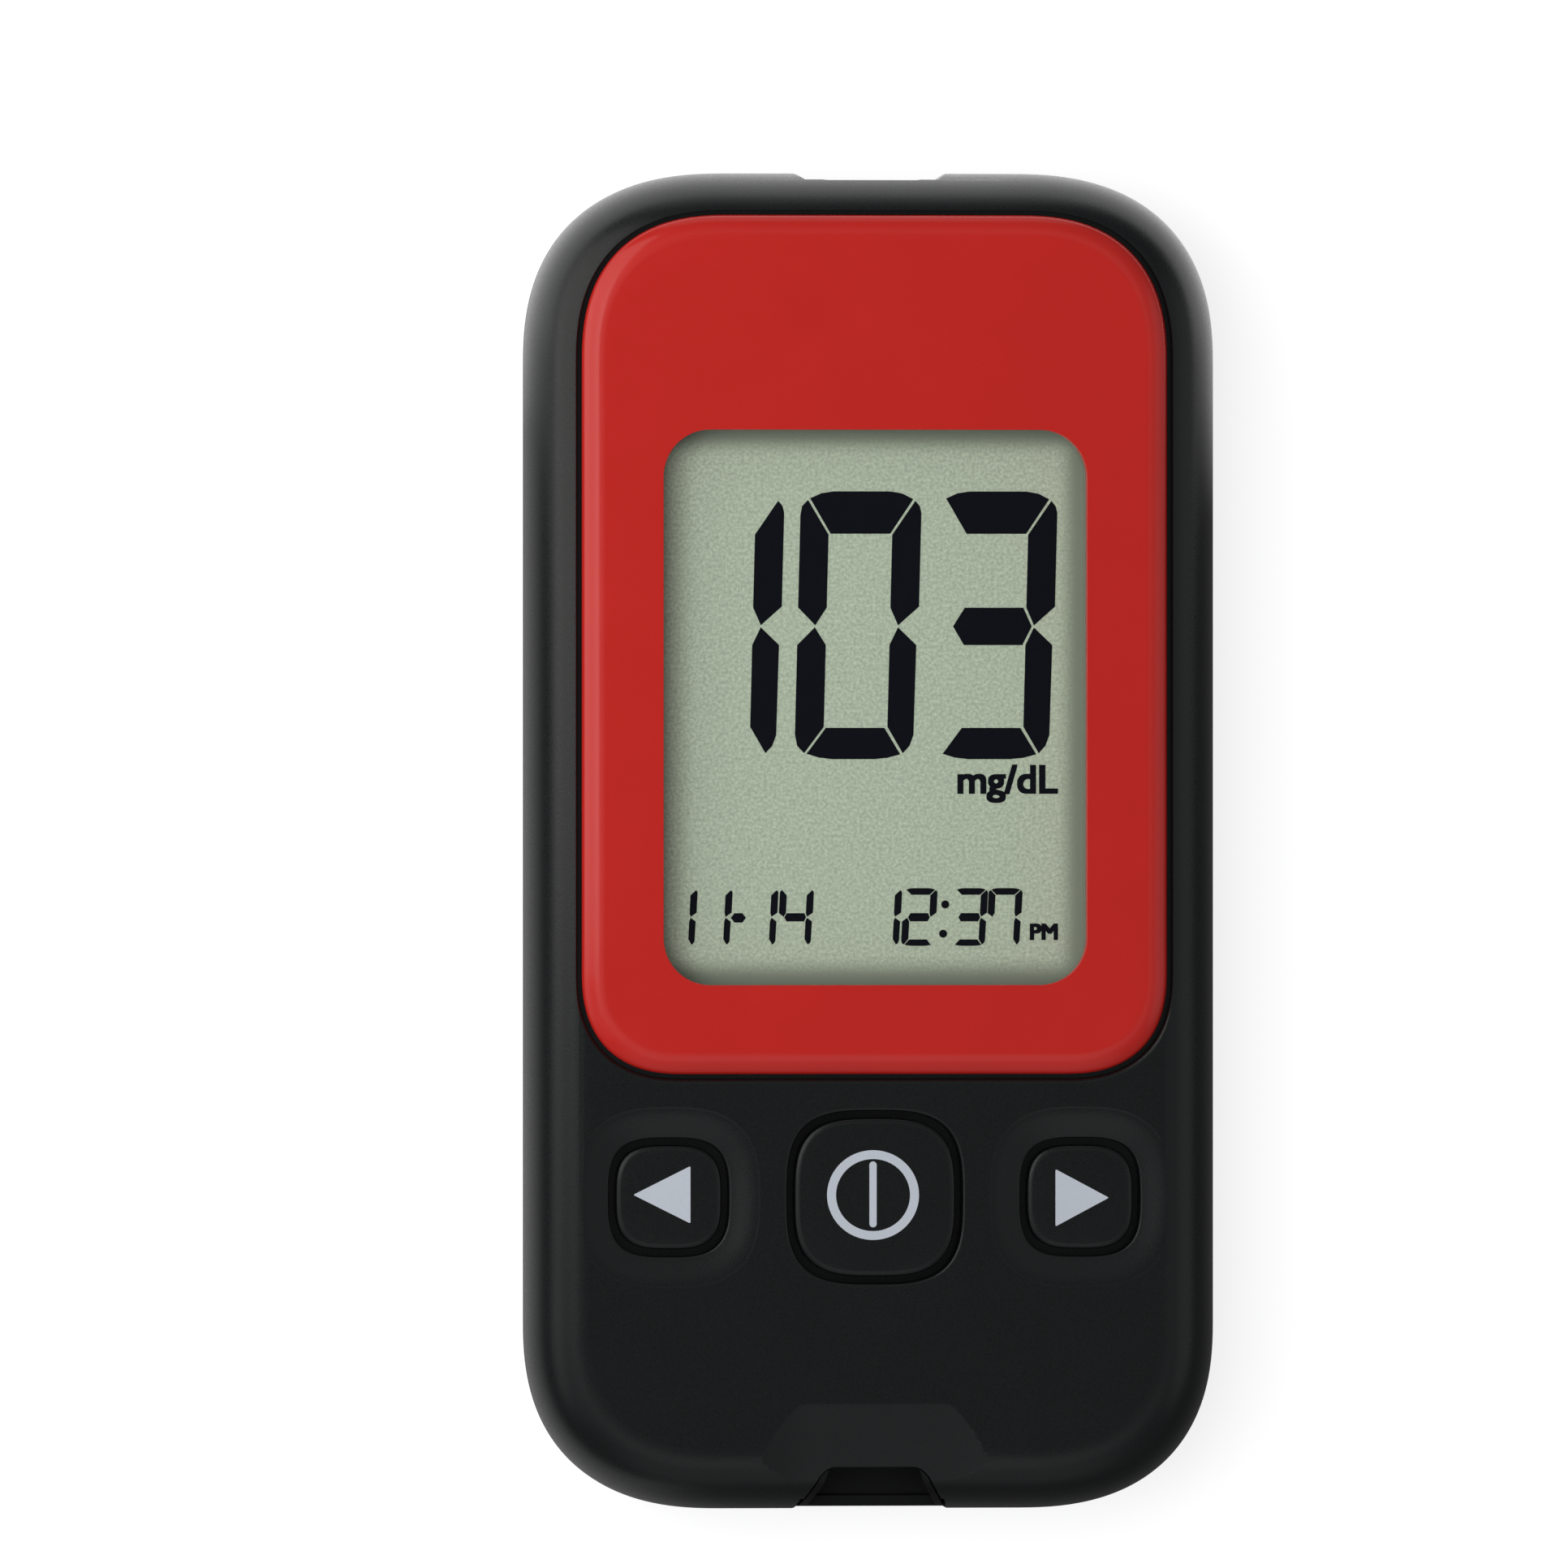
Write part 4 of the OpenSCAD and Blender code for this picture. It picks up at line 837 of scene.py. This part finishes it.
def digit_bars(w, h, side, top, low, mid, gap):
    """Outlines of the seven bars of one display digit, counterclockwise, before it is slanted."""
    m = 0.496 * h
    g = gap / 2
    up, down = m + mid / 2, m - mid / 2
    return {
        "a": [(side + gap, h - top), (w - side - gap, h - top), (w * 0.93, 0.971 * h),
              (w * 0.84, 0.992 * h), (w * 0.74, h), (w * 0.27, h), (w * 0.17, 0.993 * h),
              (w * 0.077, 0.974 * h)],
        "b": [(w - side, h - top - g), (w - side, up), (w * 0.83, m + g), (w, up + g), (w, 0.92 * h),
              (w * 0.985, 0.945 * h), (w * 0.948, 0.965 * h)],
        "c": [(w * 0.83, m - g), (w - side, down), (w - side, low + g), (w * 0.895, 0.022 * h),
              (w * 0.95, 0.05 * h), (w * 0.98, 0.09 * h), (w * 0.985, down)],
        "d": [(w * 0.1, 0.02 * h), (w * 0.2, 0.006 * h), (w * 0.31, 0), (w * 0.66, 0),
              (w * 0.77, 0.005 * h), (w * 0.875, 0.018 * h), (w - side - gap * 1.5, low),
              (side + gap, low)],
        "e": [(w * 0.143, m - g), (0, down), (0, 0.092 * h), (w * 0.02, 0.05 * h),
              (w * 0.08, 0.022 * h), (side, low + g), (side, down)],
        "f": [(side, h - top - g), (w * 0.06, 0.968 * h), (w * 0.012, 0.945 * h), (0, 0.91 * h),
              (0, up), (w * 0.146, m + g), (side, up)],
        "g": [(w * 0.152 + g, m), (side + gap, down), (w - side - 1.5 * gap, down), (w * 0.82 - g, m),
              (w - side - 1.5 * gap, up), (side + gap, up)],
    }


# The segments are a thin layer on the glass
INK_LOW = GLASS_HIGH.z - 0.004
INK_HIGH = GLASS_HIGH.z + 0.02


def digits(marks, y, bars, slant):
    """Lit bars of some digits, each mark a digit and the left edge of its cell."""
    parts = []
    for mark, x0 in marks:
        for bar in LIT[mark]:
            parts.append(flat_shape([(x0 + x + slant * v, y + v) for x, v in bars[bar]], INK_LOW, INK_HIGH))
    return parts


def lettering(text, low, high, weight):
    """Letters of the built-in face between two corners, as four copies shifted to thicken the strokes."""
    curve = bpy.data.curves.new("letters", "FONT")
    curve.body = text
    curve.resolution_u = 6
    curve.fill_mode = "BOTH"
    curve.extrude = 0.01
    holder = bpy.data.objects.new("letters", curve)
    bpy.context.scene.collection.objects.link(holder)
    bpy.context.view_layer.update()
    mesh = bpy.data.meshes.new_from_object(holder.evaluated_get(bpy.context.evaluated_depsgraph_get()))
    bm = bmesh.new()
    bm.from_mesh(mesh)
    bpy.data.objects.remove(holder)
    bpy.data.curves.remove(curve)
    bpy.data.meshes.remove(mesh)
    lows = [min(v.co[k] for v in bm.verts) for k in range(3)]
    highs = [max(v.co[k] for v in bm.verts) for k in range(3)]
    targets = [(low[0] + weight[0], high[0] - weight[0]), (low[1] + weight[1], high[1] - weight[1]),
               (INK_LOW, INK_HIGH)]
    prints = []
    for i, (side, up) in enumerate(((-1, -1), (1, -1), (1, 1), (-1, 1))):
        # each copy stands a little above the last, so that no two faces share a plane
        shift = (side * weight[0], up * weight[1], i * 0.002)
        layer = bm.copy()
        for vert in layer.verts:
            vert.co = [t[0] + (vert.co[k] - lows[k]) / (highs[k] - lows[k]) * (t[1] - t[0]) + shift[k]
                       for k, t in enumerate(targets)]
        prints.append(layer)
    bm.free()
    return prints


class METER_OT_display(bpy.types.Operator):
    """Dark bars and letters on the display glass: a plain number, unit, date and time"""

    bl_idname = "meter.display"
    bl_label = "Display segments"

    def execute(self, context):
        large = digit_bars(9.07, 20.03, 2.15, 3.17, 2.34, 2.8, 0.15)
        small = digit_bars(2.55, 4.32, 0.53, 0.5, 0.48, 0.62, 0.07)
        date = digits([("1", -15.85), ("1", -13.23), ("1", -9.80), ("4", -7.14)], -7.85, small, 0.05)
        dash = [(-10.62, -5.75), (-10.35, -6.1), (-9.75, -6.1), (-9.48, -5.75), (-9.75, -5.4), (-10.35, -5.4)]
        date.append(flat_shape(dash, INK_LOW, INK_HIGH))
        clock = digits([("1", -0.53), ("2", 2.13), ("3", 5.92), ("7", 8.51)], -7.85, small, 0.05)
        for x, y in ((5.46, -4.75), (5.3, -6.94)):
            clock.append(post(x, y, INK_LOW, INK_HIGH, 0.6))
        rows = (("reading_bars", digits([("1", -16.15), ("0", -5.86), ("3", 4.34)], 6.12, large, 0.025)),
                ("date_bars", date), ("clock_bars", clock),
                ("unit_letters", lettering("mg/dL", (6.37, 2.84), (13.92, 5.72), (0.09, 0.07))),
                ("half_day_letters", lettering("PM", (11.8, -7.42), (13.92, -6.18), (0.08, 0.06))))
        for name, parts in rows:
            finished(joined(parts), name, "display", material="segment_ink", soften=False)
        return {"FINISHED"}


def key_cap(x, size, top, floor):
    """A key's cap: rounded edge, faint crown, and a flange under the plate."""
    half = [d / 2 for d in size]
    flange, flange_t = [h + 1.2 for h in half], 0.9
    edge_w, edge_h, crown = 0.45, 0.3, 0.06
    rings = [key_ring(x, flange, floor), key_ring(x, flange, floor + flange_t),
             key_ring(x, half, floor + flange_t)]
    for i in range(ARC_STEPS + 1):
        angle = math.pi / 2 * i / ARC_STEPS
        inset = edge_w * (1 - math.cos(angle))
        rings.append(key_ring(x, [h - inset for h in half], top - 0.09 - edge_h * (1 - math.sin(angle))))
    for share in (0.75, 0.5, 0.25, 0.05):
        rings.append(key_ring(x, [h * share for h in half], top - 0.03 - crown * share ** 2,
                              KEY_POWER - 1 + share))
    return loft(rings)


class METER_OT_keys(bpy.types.Operator):
    """The three keys and the marks printed on them"""

    bl_idname = "meter.keys"
    bl_label = "Keys"

    def execute(self, context):
        s = sizes(context)
        side, middle = (s.side_key_w, s.side_key_l), (s.power_key_w, s.power_key_l)
        rows = (("left", -KEY_X, side, "left_arrow_key", SIDE_KEY_HIGH.z),
                ("power", 0.0, middle, "middle_key", POWER_KEY_HIGH.z),
                ("right", KEY_X, side, "right_arrow_key", SIDE_KEY_HIGH.z))
        for name, x, size, body, top in rows:
            node = name + "_key"
            cap = key_cap(x, size, top, box_mm(node)[0].z)
            finished(cap, name + "_cap", "key_plastic", body, (node,))
        # the prints stand a hair below the caps' highest points, sunk into their crowns
        sunk, under = 0.12, 0.005
        # each arrow's base, tip and rise above the middle of the key row
        arrows = (("left", -1, "left_arrow_key", (-13.79, -18.07, 0.2)),
                  ("right", 1, "right_arrow_key", (13.54, 17.55, -0.06)))
        for name, sign, body, (base, tip, rise) in arrows:
            y, half_h = KEY_Y + rise, 2.145
            arrow = flat_shape([(tip, y), (base, y + half_h), (base, y - half_h)][::sign],
                               SIDE_KEY_HIGH.z - sunk, SIDE_KEY_HIGH.z - under)
            upright = [e for e in arrow.edges if abs(e.verts[0].co.z - e.verts[1].co.z) > 1e-4]
            bmesh.ops.bevel(arrow, geom=upright, offset=0.12, affect="EDGES", segments=5,
                            profile=0.5, material=-1)
            finished(arrow, name + "_arrow_print", "key_plastic", body, material="key_print", soften=False)
        low, high = POWER_KEY_HIGH.z - sunk, POWER_KEY_HIGH.z - under
        centre = (-0.16, KEY_Y + 0.17)
        outer, inner = squircle(centre, (3.44, 3.35), 2), squircle(centre, (2.77, 2.69), 2)
        ring = loft([(outer, low), (outer, high), (inner, high), (inner, low)], tube=True)
        bar = prism(round_rect((centre[0], centre[1] + 0.05), (0.54, 4.91), 0.26, 10), low, high)
        finished(joined([ring, bar]), "power_mark_print", "key_plastic", "middle_key",
                 material="key_print", soften=False)
        return {"FINISHED"}


class METER_OT_port(bpy.types.Operator):
    """Moulded insert that lines the strip mouth, with its sill and its back wall"""

    bl_idname = "meter.port"
    bl_label = "Strip port insert"

    def execute(self, context):
        s = sizes(context)
        wall, half_w, slot_half = 0.5, 9, 3.4
        back = -CASE_END + s.mouth_depth
        front = carve(mouth(s, 0.0, back - PORT_STEP),
                      [loft(front_rings(s)), block((-half_w, PORT_LOW.y, 0), (half_w, PORT_HIGH.y, 20))],
                      "INTERSECT")
        # a hair narrower than the front part, so that the two share no wall
        rear = carve(mouth(s, -0.03, PORT_HIGH.y, high=PORT_TOP),
                     [block((-half_w, back - 1.5, 0), (half_w, 0, 20))], "INTERSECT")
        base = carve(front, [rear], "UNION")
        sill = block((-half_w, PORT_LOW.y - 6, 0), (half_w, PORT_LOW.y + s.sill_w, SLOT_Z - 0.1), 0.12)
        cuts = [scoop(s, 0.1),
                carve(mouth(s, -wall, back, low=MOUTH_LOW), [sill]),
                block((-slot_half, back - 1, SLOT_Z - 0.1), (slot_half, PORT_HIGH.y + PAST, SLOT_Z + 1.1))]
        finished(carve(base, cuts), "port_liner", "port_plastic", replaces=("strip_port_insert",))
        return {"FINISHED"}


class METER_OT_cover(bpy.types.Operator):
    """Sliding battery cover with grip grooves and hooks"""

    bl_idname = "meter.cover"
    bl_label = "Battery cover"

    def execute(self, context):
        s = sizes(context)
        skin, pitch = 1.0, 1.3
        plate = carve(loft(rear_rings(s)),
                      [block((COVER_LOW.x, COVER_LOW.y, -PAST), (COVER_HIGH.x, CASE_END, skin))], "INTERSECT")
        cuts = [block((-7, CASE_END - 7 - pitch * i, -PAST), (7, CASE_END - 6.4 - pitch * i, 0.3))
                for i in range(6)]
        parts = [carve(plate, cuts + end_notches(s))]
        cells_low, cells_high = box_mm("coin_cells")
        ledge_x, hook_l, soft = cells_high.x + 1.7, 5, 0.08
        for y in (cells_low.y + 3.7, cells_low.y + 25.7):
            for sign in (-1, 1):
                # each hook is an upright leg with a foot that reaches under the case's ledge
                x = sign * (ledge_x - 0.6)
                parts.append(block((x - 0.4, y, 0.95), (x + 0.4, y + hook_l, COVER_HIGH.z), soft))
                inner, outer = sorted((x, sign * (ledge_x + 0.7)))
                parts.append(block((inner, y, COVER_HIGH.z - 0.8), (outer, y + hook_l, COVER_HIGH.z), soft))
        finished(joined(parts), "cover_plate", "case_back", "cover", ("battery_cover",))
        return {"FINISHED"}


class METER_OT_inside(bpy.types.Operator):
    """Finishes for the parts that stay as the frame has them"""

    bl_idname = "meter.inside"
    bl_label = "Inner parts"

    def execute(self, context):
        slots = {p["node"]: p["material_slot"] for p in frame["record"]["subparts"]}
        for name, obj in frame["nodes"].items():
            obj.data.materials.clear()
            obj.data.materials.append(MATERIALS[slots[name]])
        return {"FINISHED"}


def soft_light(name, place, watts, size, colour, seen=True, aim=(0, 0, 0)):
    """A soft box that faces the meter; one that isn't seen makes no highlight."""
    data = bpy.data.lights.new(name, "AREA")
    data.shape, data.size, data.size_y = "RECTANGLE", size[0], size[1]
    data.energy, data.color = watts, srgb(colour)[:3]
    light = bpy.data.objects.new(name, data)
    light.location = place
    light.visible_glossy = seen
    light.rotation_euler = (Vector(aim) - Vector(place)).to_track_quat("-Z", "Y").to_euler()
    bpy.context.scene.collection.objects.link(light)


def paper():
    """White paper: even for the camera, clear parts and soft light, graded in reflections.

    The case's edges mirror it brightest behind the socket end and mid on the left.
    """
    material, tree, shader, place = start_material("paper_white_matte")
    shader.inputs["Roughness"].default_value = 0.9
    shader.inputs["Specular IOR Level"].default_value = 0.0
    seen = add_node(tree, "LightPath")
    where = add_node(tree, "SeparateXYZ", {}, {"Vector": (place, "Object")})
    shifted = add_node(tree, "Math", {"operation": "ADD", 1: 33 * MM}, {0: (where, "X")})
    off = add_node(tree, "Math", {"operation": "ABSOLUTE"}, {0: (shifted, 0)})
    left = add_node(tree, "MapRange",
                    {"interpolation_type": "SMOOTHSTEP", "From Min": 26 * MM, "From Max": 2 * MM,
                     "To Min": 0.1, "To Max": 0.45}, {"Value": (off, 0)})
    behind = add_node(tree, "MapRange",
                      {"interpolation_type": "SMOOTHSTEP", "From Min": 20 * MM, "From Max": 48 * MM,
                       "To Min": 0.0, "To Max": 1.35}, {"Value": (where, "Y")})
    graded = add_node(tree, "Math", {"operation": "MAXIMUM"}, {0: (left, 0), 1: (behind, 0)})
    mirrored = add_node(tree, "Math", {"operation": "MULTIPLY"},
                        {0: (seen, "Is Glossy Ray"), 1: (graded, 0)})
    direct = add_node(tree, "Math", {"operation": "MAXIMUM"},
                      {0: (seen, "Is Camera Ray"), 1: (seen, "Is Transmission Ray")})
    # the paper's own grey carries the shadow, and the glow lifts it to white
    glow = add_node(tree, "Math", {"operation": "MULTIPLY_ADD", 1: 0.8}, {0: (direct, 0), 2: (mirrored, 0)})
    grey = add_node(tree, "Mix", {"data_type": "FLOAT", 2: srgb("#A6A6A6")[0], 3: 0.0},
                    {0: (seen, "Is Glossy Ray")})
    tree.links.new(grey.outputs[0], shader.inputs["Base Color"])
    shader.inputs["Emission Color"].default_value = (1, 1, 1, 1)
    tree.links.new(glow.outputs[0], shader.inputs["Emission Strength"])
    return material


# Each soft glow of the tent: where it is, its outer and inner reach in degrees, how bright it is
GLOWS = (((0, 0, 1), 50, 20, 0.18),         # roof
         ((0, 0, 1), 24, 8, -0.2),          # opening that the camera looks through
         ((-0.8, 0, 0.6), 45, 10, 0.22),    # left wall, high
         ((-1, 0, 0.05), 35, 10, 0.3),      # left wall, low
         ((0, -0.42, 0.907), 20, 5, 0.2),   # front, high
         ((0, -0.85, 0.53), 35, 8, 0.2),    # front, low
         ((0.9, 0, 0.43), 30, 8, 0.3),      # right wall
         ((0, 1, 0.03), 26, 6, 0.5))        # behind the socket end


def soft_tent(scene):
    """A dim even world with a few soft glows."""
    world = bpy.data.worlds.new("soft_tent")
    scene.world = world
    world.use_nodes = True
    tree = world.node_tree
    sky = tree.nodes["Background"]
    way = add_node(tree, "TexCoord")
    level = add_node(tree, "Math", {"operation": "ADD", 0: 0.14, 1: 0.0})
    for direction, wide, narrow, strength in GLOWS:
        toward = add_node(tree, "VectorMath", {"operation": "DOT_PRODUCT", 1: direction},
                          {0: (way, "Generated")})
        glow = add_node(tree, "MapRange",
                        {"interpolation_type": "SMOOTHERSTEP", "From Min": math.cos(math.radians(wide)),
                         "From Max": math.cos(math.radians(narrow)), "To Min": 0.0, "To Max": strength},
                        {"Value": (toward, "Value")})
        level = add_node(tree, "Math", {"operation": "ADD"}, {0: (level, 0), 1: (glow, "Result")})
    tree.links.new(level.outputs[0], sky.inputs["Strength"])
    sky.inputs["Color"].default_value = (1, 1, 1, 1)


# The photograph: its side, its scales in pixels per millimetre, and where the meter's middle is
PHOTO_SIDE = 1932
SCALE_X, SCALE_Y = 16.42, 16.43
MIDDLE_X, MIDDLE_Y = 1069.5, 1036


def photo_camera(scene):
    """A long lens above the meter, turned a little about its length as the photograph is."""
    yaw, distance, height = math.radians(3.8), 1.5, 8 * MM
    away = Vector((-math.sin(yaw), 0, math.cos(yaw)))
    right = Vector((math.cos(yaw), 0, math.sin(yaw)))
    data = bpy.data.cameras.new("camera")
    data.sensor_width = 36.0
    data.lens = data.sensor_width * distance / (PHOTO_SIDE / SCALE_X * MM)
    data.clip_end = 20
    camera = bpy.data.objects.new("camera", data)
    target = (Vector((0, 0, height)) + right * (PHOTO_SIDE / 2 - MIDDLE_X) / SCALE_X * MM
              + Vector((0, (MIDDLE_Y - PHOTO_SIDE / 2) / SCALE_Y * MM, 0)))
    camera.location = target + away * distance
    camera.rotation_euler = Matrix((right, Vector((0, 1, 0)), away)).transposed().to_euler()
    scene.collection.objects.link(camera)
    scene.camera = camera


class METER_OT_stage(bpy.types.Operator):
    """Pale floor, soft studio light and the camera at the photograph's angle"""

    bl_idname = "meter.stage"
    bl_label = "Stage"

    def execute(self, context):
        scene = context.scene
        scene.view_settings.view_transform = "Standard"
        bm = bmesh.new()
        bmesh.ops.create_grid(bm, x_segments=1, y_segments=1, size=3.0)
        # a hair under the meter's flat back, so that the two share no plane
        bmesh.ops.translate(bm, vec=(0, 0, -0.02 * MM), verts=bm.verts)
        floor = plain_object(bm, "floor")
        floor.data.materials.append(paper())
        soft_tent(scene)
        soft_light("key_box", (-0.14, 0.11, 0.1), 0.137, (0.24, 0.18), "#FFFDF8", aim=(-0.04, 0.11, 0))
        soft_light("roof_box", (-0.2, 0.02, 0.52), 1.65, (0.35, 0.35), "#FBFCFF", seen=False)
        photo_camera(scene)
        return {"FINISHED"}


OPERATORS = (METER_OT_inside, METER_OT_front_shell, METER_OT_rear_shell, METER_OT_red_panel,
             METER_OT_window_lens, METER_OT_display, METER_OT_keys, METER_OT_port, METER_OT_cover,
             METER_OT_stage)


class METER_PT_panel(bpy.types.Panel):
    """Lists the meter's pieces in the sidebar"""

    bl_idname = "METER_PT_panel"
    bl_label = "Blood glucose meter"
    bl_space_type = "VIEW_3D"
    bl_region_type = "UI"
    bl_category = "Meter"

    def draw(self, context):
        for group in (context.scene.meter_sizes, context.scene.meter_colours):
            for key in type(group).__annotations__:
                self.layout.prop(group, key)
        for operator in OPERATORS:
            self.layout.operator(operator.bl_idname)


CLASSES = (MeterSizes, MeterColours, *OPERATORS, METER_PT_panel)


def register():
    for item in CLASSES:
        bpy.utils.register_class(item)
    bpy.types.Scene.meter_sizes = PointerProperty(type=MeterSizes)
    bpy.types.Scene.meter_colours = PointerProperty(type=MeterColours)


def unregister():
    del bpy.types.Scene.meter_colours
    del bpy.types.Scene.meter_sizes
    for item in reversed(CLASSES):
        bpy.utils.unregister_class(item)


def main():
    register()
    MATERIALS.update(make_materials(bpy.context.scene.meter_colours))
    for operator in OPERATORS:
        category, name = operator.bl_idname.split(".")
        getattr(getattr(bpy.ops, category), name)()


if __name__ == "__main__":
    main()
